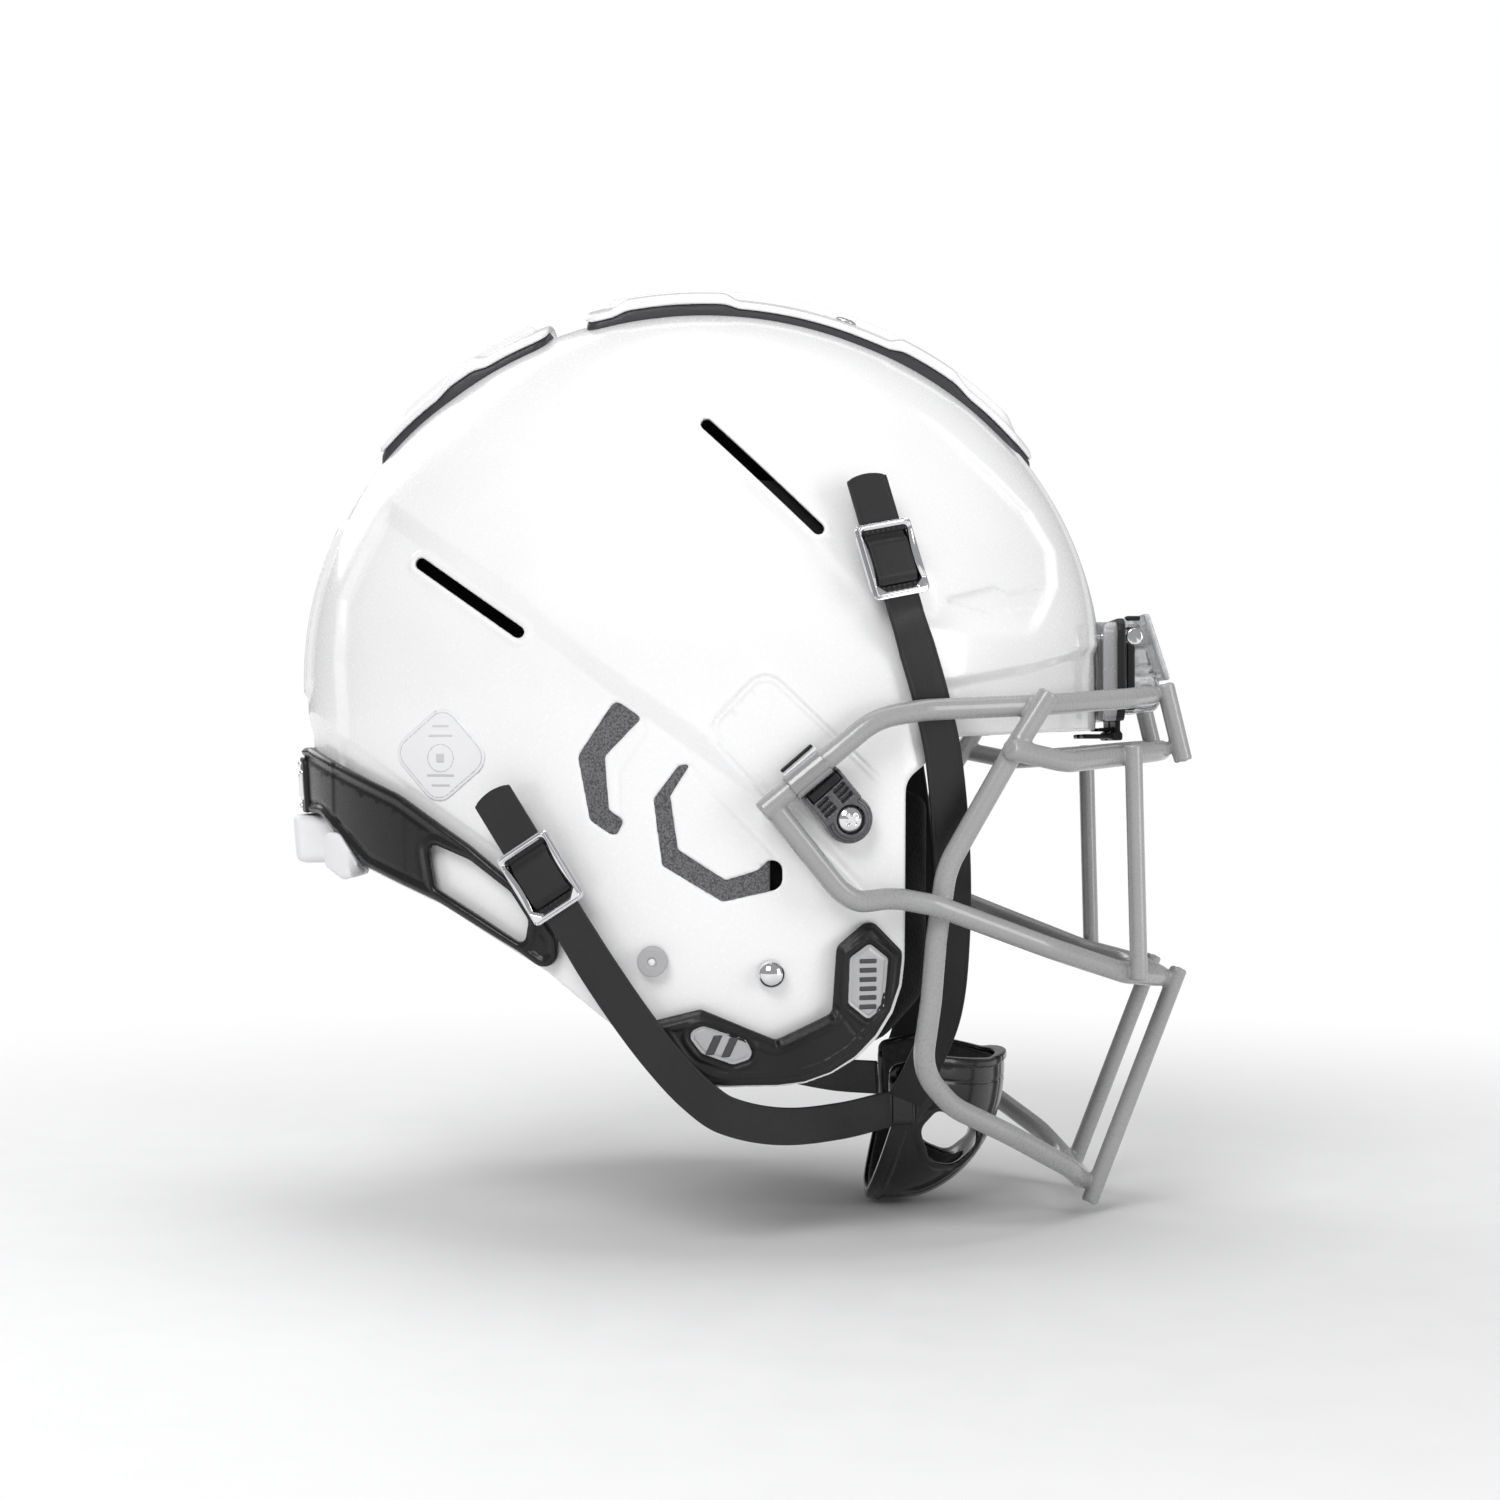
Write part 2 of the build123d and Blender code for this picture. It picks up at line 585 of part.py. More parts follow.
# ---------------------------------------------------------------- side clips on the mask
CLIP_THICK = 5.6
CLIP_R = 8.0
CLIP_LIFT = 1.0
clip_direction = (SIDE_CLIP_WIRE[0] - SIDE_CLIP_SCREW[0], SIDE_CLIP_WIRE[1] - SIDE_CLIP_SCREW[1])
clip_plane = surface_plane(SIDE_CLIP_SCREW, -1, CLIP_LIFT, clip_direction)
wire_start = Vector(*UPPER_ROUTE[0])
wire_run = (Vector(*UPPER_ROUTE[1]) - wire_start).normalized()
wire_middle = wire_start + wire_run * 19.0
wire_plane = Plane(origin=wire_middle - wire_run * 7.6, z_dir=wire_run)

with BuildPart() as clip_wraps:
    with BuildSketch(wire_plane):
        Circle(WIRE_R + 1.6)
        Circle(WIRE_R + 0.05, mode=Mode.SUBTRACT)
    extrude(amount=15.2)
    mirror(about=Plane.XZ)
save(clip_wraps.part, "clip_wraps")

clip_seat = dome(0.6)
with BuildPart() as side_clip:
    with BuildSketch(clip_plane):
        Circle(CLIP_R)
        with Locations((9, 0)):
            Rectangle(18, 15.2)
    extrude(amount=CLIP_THICK)
    with BuildSketch(Plane(origin=wire_middle - wire_run * 20, z_dir=wire_run)):
        Circle(WIRE_R + 1.8)
    extrude(amount=40, mode=Mode.SUBTRACT)
    add(clip_seat, mode=Mode.SUBTRACT)
    with Locations(surface_plane(SIDE_CLIP_SCREW, -1, CLIP_LIFT + CLIP_THICK)):
        CounterBoreHole(SCREW_R + MOVE_GAP, SCREW_HEAD_R + 0.7, 2.4, depth=20)
save_pair(side_clip.part, "side_clip")

with BuildPart() as clip_screw:
    with BuildSketch(surface_plane(SIDE_CLIP_SCREW, -1, CLIP_LIFT + 0.2)):
        Circle(SCREW_R)
    extrude(amount=CLIP_THICK - 2.4)
    screw_seat = surface_plane(SIDE_CLIP_SCREW, -1, CLIP_LIFT + CLIP_THICK - 2.2)
    with BuildSketch(screw_seat):
        Circle(SCREW_HEAD_R)
    extrude(amount=3.4)
    fillet(clip_screw.faces().sort_by_distance(screw_seat.origin + screw_seat.z_dir * 20)[0].edges(), 1.6)
save_pair(clip_screw.part, "clip_screw")

with BuildPart() as shell_nuts:
    for side in (-1, 1):
        with BuildSketch(surface_plane(SIDE_CLIP_SCREW, side, -SHELL_WALL - 4.4)):
            Circle(CLIP_NUT_R)
            Circle(SCREW_R + SKIN_GAP, mode=Mode.SUBTRACT)
        extrude(amount=SHELL_WALL + 4.2)
    for plane in FRONT_SCREW_PLANES:
        with BuildSketch(plane.offset(-12)):
            Circle(6)
            Circle(SCREW_R + SKIN_GAP, mode=Mode.SUBTRACT)
        extrude(amount=4)
save(shell_nuts.part, "shell_nuts")

# ---------------------------------------------------------------- buckles, straps and chin cup
BASE_FLOOR = 1.7             # over the shell, so that the socket rides on the stud's flange
SOCKET_TOP = 4.4
STRAP_LIFT = SOCKET_TOP + 1.3
FRAME_FLOOR = STRAP_LIFT + STRAP_THICK + 0.1
FRAME_THICK = 2.2
FRAME_BAR = 2.4
TAIL_LENGTH = 31.0
TAIL_OVERLAP = 14.5          # how far the tail reaches past the snap towards the chin


def save_buckle(place, direction, name):
    """One snap buckle of the right side and its mirror image, as base, frame and strap tail."""
    floor = surface_plane(place, -1, BASE_FLOOR, direction)
    with BuildPart() as base:
        with BuildSketch(floor):
            Circle(STUD_FLANGE_R + 0.8)
            Circle(SNAP_R + MOVE_GAP, mode=Mode.SUBTRACT)
        extrude(amount=SOCKET_TOP - BASE_FLOOR)
        with BuildSketch(surface_plane(place, -1, SOCKET_TOP, direction)):
            RectangleRounded(BUCKLE_LENGTH - 3, BUCKLE_WIDTH - 2, 3)
        extrude(amount=1.2)
    save_pair(base.part, f"{name}_buckle_base")

    with BuildPart() as frame:
        with BuildSketch(surface_plane(place, -1, FRAME_FLOOR, direction)):
            RectangleRounded(BUCKLE_LENGTH, BUCKLE_WIDTH, 2.6)
            offset(amount=-FRAME_BAR, mode=Mode.SUBTRACT)
        extrude(amount=FRAME_THICK)
    save_pair(frame.part, f"{name}_buckle")

    with BuildPart() as tail:
        with BuildSketch(surface_plane(place, -1, STRAP_LIFT, direction)):
            with Locations(((TAIL_OVERLAP - TAIL_LENGTH) / 2, 0)):
                Rectangle(TAIL_OVERLAP + TAIL_LENGTH, STRAP_WIDTH)
        extrude(amount=STRAP_THICK)
    save_pair(tail.part, f"{name}_strap_tail")


save_buckle(UPPER_SNAP, UPPER_STRAP_DIRECTION, "upper")
save_buckle(LOWER_SNAP, LOWER_STRAP_DIRECTION, "lower")


def strap_start(place, direction, beyond):
    """Where a strap's section stands, a distance past the snap along the buckle."""
    plane = surface_plane(place, -1, STRAP_LIFT + STRAP_THICK / 2, direction)
    point = plane.origin + plane.x_dir * beyond
    return ((point.X, point.Y, point.Z), (plane.z_dir.X, plane.z_dir.Y, plane.z_dir.Z))


UPPER_STRAP = [
    strap_start(UPPER_SNAP, UPPER_STRAP_DIRECTION, TAIL_OVERLAP + 0.4),
    strap_start(UPPER_SNAP, UPPER_STRAP_DIRECTION, TAIL_OVERLAP + 5),
    ((72, -109, 7), (0.28, -0.96, 0)),
    ((76.5, -107, -8.4), (0.28, -0.96, 0)),
    ((81, -103, -28), (0.28, -0.96, -0.1)),
    ((84.5, -92.5, -60), (0.15, -0.96, -0.2)),
    ((85.5, -79, -90), (0.1, -0.93, -0.3)),
    ((84, -63, -117), (0.1, -0.9, -0.4)),
    ((77.5, -49.5, -138), (0.1, -0.9, -0.3)),
    ((72, -44.6, -148), (0.1, -0.95, -0.1)),
]
LOWER_STRAP = [
    strap_start(LOWER_SNAP, LOWER_STRAP_DIRECTION, TAIL_OVERLAP + 0.4),
    strap_start(LOWER_SNAP, LOWER_STRAP_DIRECTION, TAIL_OVERLAP + 5),
    ((-32, -117.5, -98), (-0.1, -1, 0)),
    ((-21, -117.8, -114), (-0.05, -1, 0)),
    ((-11, -117.4, -127), (-0.05, -1, -0.05)),
    ((-1, -114.6, -138), (0.1, -1, -0.1)),
    ((9, -108.6, -146), (0.2, -0.97, -0.1)),
    ((27, -92, -152), (0.5, -0.85, -0.1)),
    ((48, -68, -155), (0.6, -0.78, 0)),
    ((65, -47.5, -154), (0.55, -0.83, 0)),
]
save_pair(ribbon(UPPER_STRAP), "upper_strap")
save_pair(ribbon(LOWER_STRAP), "lower_strap")

CUP_CENTRE = (68.0, 0.0, -142.0)
CUP_RADII = (42.0, 41.0, 49.0)
CUP_WALL = 2.6
LINER_WALL = 3.0
CUP_VIEW = outline(
    (57, -WORLD, 0), (59.5, -186, 0), (67.5, -158, 0), (66, -138, 4), (82, -134.5, 6), (104, -137.5, 3),
    (120, -134, 0), (120, -WORLD, 0),
)
CUP_SIDE_HOLE = outline(
    (84, -154, 3), (77.5, -161, 5), (82, -174, 6), (91, -176.5, 6), (99, -170, 6), (99, -163, 5),
)


def bowl(grow):
    """The chin cup's form, grown by a distance."""
    ball = Sphere(50)
    return Pos(*CUP_CENTRE) * scale(ball, by=tuple((radius + grow) / 50 for radius in CUP_RADII))


for name, outer, inner in (
    ("chin_cup", 0, -CUP_WALL),
    ("chin_cup_liner", -CUP_WALL - 0.05, -CUP_WALL - LINER_WALL),
):
    cup_layer = bowl(outer) - bowl(inner)
    with BuildPart() as cup:
        add(cup_layer)
        with BuildSketch(Plane.XZ):
            add(CUP_VIEW)
            add(CUP_SIDE_HOLE, mode=Mode.SUBTRACT)
        extrude(amount=WORLD, both=True, mode=Mode.INTERSECT)
    save(cup.part, name)
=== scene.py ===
import math

import bpy
import numpy as np
import openvdb
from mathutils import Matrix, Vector


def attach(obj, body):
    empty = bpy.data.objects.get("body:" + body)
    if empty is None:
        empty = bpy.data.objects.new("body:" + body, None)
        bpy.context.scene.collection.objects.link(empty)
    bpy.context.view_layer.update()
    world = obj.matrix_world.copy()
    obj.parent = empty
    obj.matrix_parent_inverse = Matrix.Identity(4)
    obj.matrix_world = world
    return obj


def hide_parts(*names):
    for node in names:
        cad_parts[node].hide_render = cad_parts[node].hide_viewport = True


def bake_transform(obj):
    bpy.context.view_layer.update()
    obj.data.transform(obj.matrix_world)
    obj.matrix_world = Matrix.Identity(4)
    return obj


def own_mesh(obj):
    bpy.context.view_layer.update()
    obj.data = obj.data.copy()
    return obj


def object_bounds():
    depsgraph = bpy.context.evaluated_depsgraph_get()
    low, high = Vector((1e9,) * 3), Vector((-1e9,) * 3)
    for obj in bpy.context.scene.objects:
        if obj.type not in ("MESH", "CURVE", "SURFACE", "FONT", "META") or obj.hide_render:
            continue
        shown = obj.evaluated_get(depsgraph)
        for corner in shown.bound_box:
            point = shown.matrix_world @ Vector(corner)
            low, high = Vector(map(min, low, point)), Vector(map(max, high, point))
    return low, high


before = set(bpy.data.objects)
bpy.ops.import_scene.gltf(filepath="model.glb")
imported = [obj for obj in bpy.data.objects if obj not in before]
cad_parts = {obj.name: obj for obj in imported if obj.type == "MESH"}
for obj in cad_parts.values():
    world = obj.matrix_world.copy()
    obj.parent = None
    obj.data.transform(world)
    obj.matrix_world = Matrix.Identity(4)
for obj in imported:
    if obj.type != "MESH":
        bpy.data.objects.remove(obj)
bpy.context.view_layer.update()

# All shapes below are worked out in millimetres in the row frame and scaled when a mesh is made.
MM = 0.001

# ---- driving sizes, as in the part
LENGTH, WIDTH, CROWN, SKIRT = 145.0, 120.0, 135.0, 320.0   # semi-axes of the shell's outer form
WALL = 3.5
HEAD_LENGTH, HEAD_WIDTH, HEAD_CROWN, HEAD_SKIRT = 101.0, 79.0, 106.0, 300.0
WIRE_R, BROW_R, UPRIGHT_R = 3.6, 3.3, 3.05
PIVOT_X, PIVOT_Z = 160.0, -6.5
CLIP_SCREW, CLIP_WIRE = (48.1, -48.2), (35.7, -34.3)
UPPER_SNAP, LOWER_SNAP, SPARE_SNAP, RIVET = (60.8, 34.9), (-49.0, -66.9), (24.2, -99.6), (-15.0, -95.2)
UPPER_RUN, LOWER_RUN = (0.211, -0.977), (0.55, -0.835)
FRONT_CLIP_Y, FRONT_SCREW_Z, SCREW_SEAT_X = 18.0, 15.0, 157.6
INSERT_Y, BARREL_X = 22.2, 155.6
PAD_DEPTH = 4.1                                             # from the shell's form to the pads' outer face
OUTSIDE = 50.0                                              # the distance given to places far from a piece
STRAP_WIDTH, STRAP_THICK = 12.8, 1.6


# ---- signed distance helpers
def ramp(t):
    """A straight rise from 0 to 1."""
    return np.clip(t, 0.0, 1.0)


def ease(t):
    """A smooth rise from 0 to 1."""
    t = ramp(t)
    return t * t * (3.0 - 2.0 * t)


def length(*parts):
    """The length of a vector given by its components."""
    return np.sqrt(sum(p * p for p in parts))


def unit(v):
    return v / np.linalg.norm(v)


def ring(distance, middle, half):
    """1 on a line at that distance, fading to 0 at half a width from it."""
    return ease(1.0 - np.abs(distance - middle) / half)


def both(a, b, k=0.01):
    """The overlap of two solids, its edge rounded by about k."""
    h = ramp(0.5 - 0.5 * (b - a) / k)
    return b + (a - b) * h + k * h * (1.0 - h)


def either(a, b, k=0.01):
    """The union of two solids, its inner corner filled by about k."""
    return -both(-a, -b, k)


def egg(x, y, z, a=LENGTH, b=WIDTH, c=CROWN, e=SKIRT):
    """Height over the shell's form, or over another form of the same kind."""
    high = np.where(z > 0, c, e)
    near = length(x / a, y / b, z / high) + 1e-6
    slope = length(x / a**2, y / b**2, z / high**2) + 1e-9
    return near * (near - 1.0) / slope


def rounded(*corners):
    """A closed outline from (u, v, radius) corners; neighbouring arcs share an edge that is too short."""
    spots = [np.array(c[:2], float) for c in corners]
    count = len(spots)
    edges = [np.linalg.norm(spots[(i + 1) % count] - spots[i]) for i in range(count)]
    halves, reaches = [], []
    for i, here in enumerate(spots):
        before, after = spots[i - 1] - here, spots[(i + 1) % count] - here
        cosine = np.clip(before @ after / (edges[i - 1] * edges[i]), -0.9999, 0.9999)
        halves.append(math.acos(cosine) / 2)
        reaches.append(corners[i][2] / math.tan(halves[-1]))
    room = [min(1.0, 0.98 * edges[i] / max(reaches[i] + reaches[(i + 1) % count],
                                           1e-6)) for i in range(count)]
    out = []
    for i, here in enumerate(spots):
        reach = reaches[i] * min(room[i - 1], room[i])
        if reach < 0.05:
            out.append(here)
            continue
        start = here + (spots[i - 1] - here) / edges[i - 1] * reach
        end = here + (spots[(i + 1) % count] - here) / edges[i] * reach
        for t in np.linspace(0, 1, 8):
            a, b, c = (1 - t) ** 2, 2 * t * (1 - t) * math.sin(halves[i]), t * t
            out.append((a * start + b * here + c * end) / (a + b + c))
    return np.array(out)


def near_line(u, v, points, reach, most):
    """(where, distance, inside or not) for the places near a line of points; no distance is over most."""
    low, high = points.min(0) - reach, points.max(0) + reach
    near = (u > low[0]) & (u < high[0]) & (v > low[1]) & (v < high[1])
    u, v = u[near], v[near]
    least = np.full(u.shape, most * most, np.float32)
    inside = np.zeros(u.shape, bool)
    for p, q in zip(points, points[1:]):
        e = q - p
        wu, wv = u - p[0], v - p[1]
        t = ramp((wu * e[0] + wv * e[1]) / max(e @ e, 1e-9))
        least = np.minimum(least, (wu - e[0] * t) ** 2 + (wv - e[1] * t) ** 2)
        if p[1] != q[1]:
            inside ^= ((p[1] > v) != (q[1] > v)) & (u < e[0] * wv / e[1] + p[0])
    return near, np.sqrt(least), inside


def outline(u, v, points, reach=9.0):
    """Signed distance to a closed outline, negative inside; far off it is just reach."""
    out = np.full(u.shape, reach, np.float32)
    near, least, inside = near_line(u, v, np.vstack([points, points[:1]]), reach, 1e4)
    out[near] = np.where(inside, -least, least)
    return out


def route(u, v, points, reach=12.0):
    """Distance to an open line; far off it is just reach."""
    out = np.full(u.shape, reach, np.float32)
    near, least, _ = near_line(u, v, np.array(points, float), reach, reach)
    out[near] = least
    return out


def block(u, v, w, half, r):
    """A box of half sizes with rounded edges."""
    qu, qv, qw = (np.abs(a) - h + r for a, h in zip((u, v, w), half))
    outside = length(np.maximum(qu, 0), np.maximum(qv, 0), np.maximum(qw, 0))
    return outside + np.minimum(np.maximum(qu, np.maximum(qv, qw)), 0) - r


def panel(u, v, half_u, half_v, r):
    """A flat rounded rectangle."""
    qu, qv = np.abs(u) - half_u + r, np.abs(v) - half_v + r
    return length(np.maximum(qu, 0), np.maximum(qv, 0)) + np.minimum(np.maximum(qu, qv), 0) - r


def rod(x, y, z, p, q, r):
    """A round bar with round ends."""
    p, q = np.array(p, float), np.array(q, float)
    e = q - p
    wx, wy, wz = x - p[0], y - p[1], z - p[2]
    t = np.clip((wx * e[0] + wy * e[1] + wz * e[2]) / (e @ e), 0, 1)
    return length(wx - e[0] * t, wy - e[1] * t, wz - e[2] * t) - r


# ---- meshes from distances
def axes_of(low, high, step):
    return [np.arange(a, b + step, step, dtype=np.float32) for a, b in zip(low, high)]


def sampled(field, low, high, step):
    """Distances on a full grid, worked out closely only near the surface."""
    axes = axes_of(low, high, step)
    sizes = [len(a) for a in axes]
    wide = np.meshgrid(*[a[::4] for a in axes], indexing="ij")
    values = field(*[a.ravel() for a in wide]).astype(np.float32).reshape(wide[0].shape)
    for axis, size in enumerate(sizes):
        values = np.repeat(values, 4, axis=axis)
        values = np.take(values, range(size), axis=axis)
    spots = np.nonzero(np.abs(values) < 8.0 * step)
    values[spots] = field(*[a[i] for a, i in zip(axes, spots)])
    return values


def meshed(values, low, step, merge):
    """(points, triangles, quads, normals) of the zero surface; flat stretches use fewer faces."""
    values = np.clip(values, -3 * step, 3 * step).astype(np.float32)
    grid = openvdb.FloatGrid(3 * step)
    grid.copyFromArray(values)
    spots, triangles, quads = grid.convertToPolygons(isovalue=0.0, adaptivity=merge)
    limit = np.array(values.shape) - 1.001

    def look(p):
        p = np.clip(p, 0, limit)
        i = p.astype(int)
        f = p - i
        total = 0.0
        for dx in (0, 1):
            for dy in (0, 1):
                for dz in (0, 1):
                    weight = np.abs(1 - dx - f[:, 0]) * np.abs(1 - dy - f[:, 1]) * np.abs(1 - dz - f[:, 2])
                    total = total + weight * values[i[:, 0] + dx, i[:, 1] + dy, i[:, 2] + dz]
        return total

    slopes = []
    for axis in range(3):
        shift = np.zeros(3)
        shift[axis] = 0.7
        slopes.append(look(spots + shift) - look(spots - shift))
    normals = np.stack(slopes, 1)
    normals /= np.linalg.norm(normals, axis=1)[:, None] + 1e-9
    points = spots * step + np.array(low)
    return [points, triangles, quads, normals]


def solid(field, low, high, step, merge=0.002):
    return meshed(sampled(field, low, high, step), low, step, merge)


def mirrored(shape):
    """The same shape on the other side of the middle plane."""
    points, triangles, quads, normals = shape
    flip = np.array([1, -1, 1])
    return [points * flip, triangles[:, ::-1], quads[:, ::-1], normals * flip]


def joined(shapes):
    """Several shapes as one."""
    points, triangles, quads, normals, count = [], [], [], [], 0
    for p, t, q, n in shapes:
        points.append(p)
        triangles.append(t + count)
        quads.append(q + count)
        normals.append(n)
        count += len(p)
    return [np.concatenate(part) for part in (points, triangles, quads, normals)]


def pair(shape):
    """A shape and its mirror image as one."""
    return joined([shape, mirrored(shape)])


# each side's name, and what makes a shape for it from the right one
SIDES = (("right", list), ("left", mirrored))


def seat_on(x, y, z, high, lift, toward):
    """Origin and the axes u, v and w of a place on the shell's form: w outwards, u close to toward."""
    w = unit(np.array((x / LENGTH**2, y / WIDTH**2, z / high**2)))
    u = unit(toward - w * (toward @ w))
    return np.array((x, y, z)) + w * lift, np.array((u, np.cross(w, u), w))


def seat(spot, side=-1, lift=0.0, along=(1, 0)):
    """The seat at an (x, z) place on one side of the shell; along is u's direction, as x and z."""
    x, z = spot
    high = CROWN if z > 0 else SKIRT
    y = side * WIDTH * math.sqrt(1 - (x / LENGTH) ** 2 - (z / high) ** 2)
    return seat_on(x, y, z, high, lift, np.array((along[0], 0.0, along[1])))


def placed(shape, spot):
    """A shape made at the origin, moved to a seat."""
    origin, axes = spot
    points, triangles, quads, normals = shape
    return [points @ axes + origin, triangles, quads, normals @ axes]


def piece(name, shape, finish, body, nodes=(), slot=None, pad=None):
    """A mesh object of the helmet, riding on one CAD body."""
    points, triangles, quads, normals = shape
    mesh = bpy.data.meshes.new(name)
    corners = np.concatenate([triangles.ravel(), quads.ravel()]).astype(np.int32)
    starts = np.concatenate([
        np.arange(len(triangles)) * 3, len(triangles) * 3 + np.arange(len(quads)) * 4,
    ]).astype(np.int32)
    a, b, c = (points[corners[starts + i]] for i in range(3))
    facing = np.einsum("ij,ij->i", np.cross(b - a, c - a), normals[corners[starts]])
    if facing.sum() < 0:
        return piece(name, [points, triangles[:, ::-1], quads[:, ::-1], normals], finish, body, nodes, slot,
                     pad)
    mesh.vertices.add(len(points))
    mesh.vertices.foreach_set("co", (points * MM).astype(np.float32).ravel())
    mesh.loops.add(len(corners))
    mesh.loops.foreach_set("vertex_index", corners)
    mesh.polygons.add(len(starts))
    mesh.polygons.foreach_set("loop_start", starts)
    mesh.update(calc_edges=True)
    mesh.validate()
    mesh.polygons.foreach_set("use_smooth", np.ones(len(mesh.polygons), bool))
    if len(mesh.vertices) == len(normals):
        mesh.normals_split_custom_set_from_vertices(normals.astype(np.float32).tolist())
    mesh.materials.append(finish)
    made = bpy.data.objects.new(name, mesh)
    bpy.context.scene.collection.objects.link(made)
    if body:
        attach(made, body)
    if nodes:
        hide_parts(*nodes)
    return made


# ---- finishes
def finish(name, color, rough=0.4, metal=0.0, coat=0.0, clear=0.0, grain=300.0, bump=0.15, depth=0.0002,
           spread=0.08, shift=0.06, weave=0.0, cells=0.0, sheen=0.0, shine=0.5, wear=0.0,
           wear_color=(0.5, 0.5, 0.5)):
    """A procedural finish: speckled colour and roughness, fine grain, and a weave (its hollows darkened with
    painted shade) or foam beads if asked.
    """
    made = bpy.data.materials.new(name)
    made.use_nodes = True
    nodes, links = made.node_tree.nodes, made.node_tree.links
    shader = nodes["Principled BSDF"]
    for socket, value in (
        ("Metallic", metal), ("Coat Weight", coat), ("Coat Roughness", 0.08),
        ("Transmission Weight", clear), ("Sheen Weight", sheen), ("Specular IOR Level", shine),
    ):
        shader.inputs[socket].default_value = value
    place = nodes.new("ShaderNodeTexCoord")

    def made_node(kind, source, socket, **settings):
        node = nodes.new("ShaderNode" + kind)
        for key, value in settings.items():
            node.inputs[key.replace("_", " ").title()].default_value = value
        links.new(source, node.inputs[socket])
        return node

    def noise(scale, detail, roughness=0.5):
        source = place.outputs["Object"]
        return made_node("TexNoise", source, "Vector", scale=scale, detail=detail,
                         roughness=roughness).outputs["Fac"]

    def spanned(value, low, high, from_low=0.3, from_high=0.7):
        spans = {"from_min": from_low, "from_max": from_high, "to_min": low, "to_max": high}
        return made_node("MapRange", value, "Value", **spans).outputs["Result"]

    def mixed(share, first, second):
        node = nodes.new("ShaderNodeMix")
        node.data_type = "RGBA"
        links.new(share, node.inputs["Factor"])
        for socket, value in ((node.inputs[6], first), (node.inputs[7], second)):
            if isinstance(value, tuple):
                socket.default_value = (*value, 1.0)
            else:
                links.new(value, socket)
        return node.outputs[2]

    def joined_by(operation, first, second):
        node = made_node("Math", first, 0)
        node.operation = operation
        links.new(second, node.inputs[1])
        return node.outputs[0]

    broad, fine = noise(38.0, 3.0), noise(grain, 4.0, 0.6)
    dark = tuple(c * (1 - shift) for c in color)
    light = tuple(min(1.0, c * (1 + shift)) for c in color)
    tone = mixed(spanned(broad, 0.0, 1.0), dark, light)
    height = fine
    if weave:
        waves = []
        for turn in (math.pi / 4, -math.pi / 4):
            mapping = made_node("Mapping", place.outputs["Object"], "Vector",
                                rotation=(turn, turn * 0.4, turn))
            wave = made_node("TexWave", mapping.outputs["Vector"], "Vector", scale=weave)
            waves.append(wave.outputs["Fac"])
        height = joined_by("MAXIMUM", *waves)
        # painted shade: the weave's low parts are darkened in the colour, as if shaded in its hollows
        tone = mixed(spanned(height, 0.0, 0.5, 0.2, 1.0), tuple(c * 0.55 for c in color), tone)
    if cells:
        cell = made_node("TexVoronoi", place.outputs["Object"], "Vector", scale=cells)
        height = cell.outputs["Distance"]
        tone = mixed(spanned(height, 0.0, 1.0, 0.1, 0.75), light, dark)
    if wear:
        rubbed = spanned(noise(9.0, 2.0), 0.0, 1.0, 0.5, 0.75)
        scuffs = spanned(noise(520.0, 6.0, 0.75), 0.0, wear, 0.56, 0.72)
        tone = mixed(joined_by("MULTIPLY", rubbed, scuffs), tone, wear_color)
    links.new(tone, shader.inputs["Base Color"])
    links.new(spanned(fine, max(0.02, rough - spread), rough + spread), shader.inputs["Roughness"])
    raised = made_node("Bump", height, "Height", strength=bump, distance=depth)
    links.new(raised.outputs["Normal"], shader.inputs["Normal"])
    return made


shell_white = finish("shell_white", (0.86, 0.86, 0.865), 0.24, coat=0.5, grain=900, bump=0.05, shift=0.012,
                     wear=0.1, wear_color=(0.76, 0.76, 0.76))
plate_white = finish("plate_white", (0.85, 0.85, 0.855), 0.26, coat=0.5, grain=900, bump=0.05, shift=0.012)
cushion_black = finish("cushion_black", (0.030, 0.030, 0.033), 0.5, grain=700, bump=0.3)
gloss_black = finish("gloss_black", (0.010, 0.010, 0.011), 0.30, coat=0.1, shine=0.25, grain=1200,
                     bump=0.12, shift=0.2)
satin_black = finish("satin_black", (0.012, 0.012, 0.013), 0.40, shine=0.3, grain=900, bump=0.2, shift=0.2)
white_rubber = finish("white_rubber", (0.84, 0.84, 0.85), 0.55, grain=500, bump=0.25, shift=0.02)
badge_grey = finish("badge_grey", (0.44, 0.44, 0.445), 0.4, metal=0.3, grain=1500, bump=0.1, shift=0.05)
badge_dark = finish("badge_dark", (0.05, 0.05, 0.055), 0.4, grain=800, bump=0.15)
label_white = finish("label_white", (0.80, 0.80, 0.81), 0.35, grain=800, bump=0.05, shift=0.02)
label_ink = finish("label_ink", (0.58, 0.58, 0.59), 0.5, grain=1500, bump=0.05, shift=0.1)
chrome = finish("chrome", (0.80, 0.80, 0.81), 0.08, metal=1.0, grain=600, bump=0.01, spread=0.03,
                shift=0.03)
steel = finish("steel", (0.62, 0.62, 0.63), 0.26, metal=1.0, grain=900, bump=0.1, shift=0.08)
washer_grey = finish("washer_grey", (0.40, 0.40, 0.41), 0.5, grain=900, bump=0.2)
pad_knit = finish("pad_knit", (0.010, 0.010, 0.011), 0.8, weave=230.0, bump=0.5, depth=0.0003, sheen=0.06,
                  shine=0.15, shift=0.25)
bead_foam = finish("bead_foam", (0.13, 0.13, 0.135), 0.85, cells=1500.0, bump=0.6, depth=0.0003, shift=0.5)
clear_plastic = finish("clear_plastic", (0.93, 0.94, 0.95), 0.10, clear=0.86, coat=0.4, grain=400,
                       bump=0.05, shift=0.02)
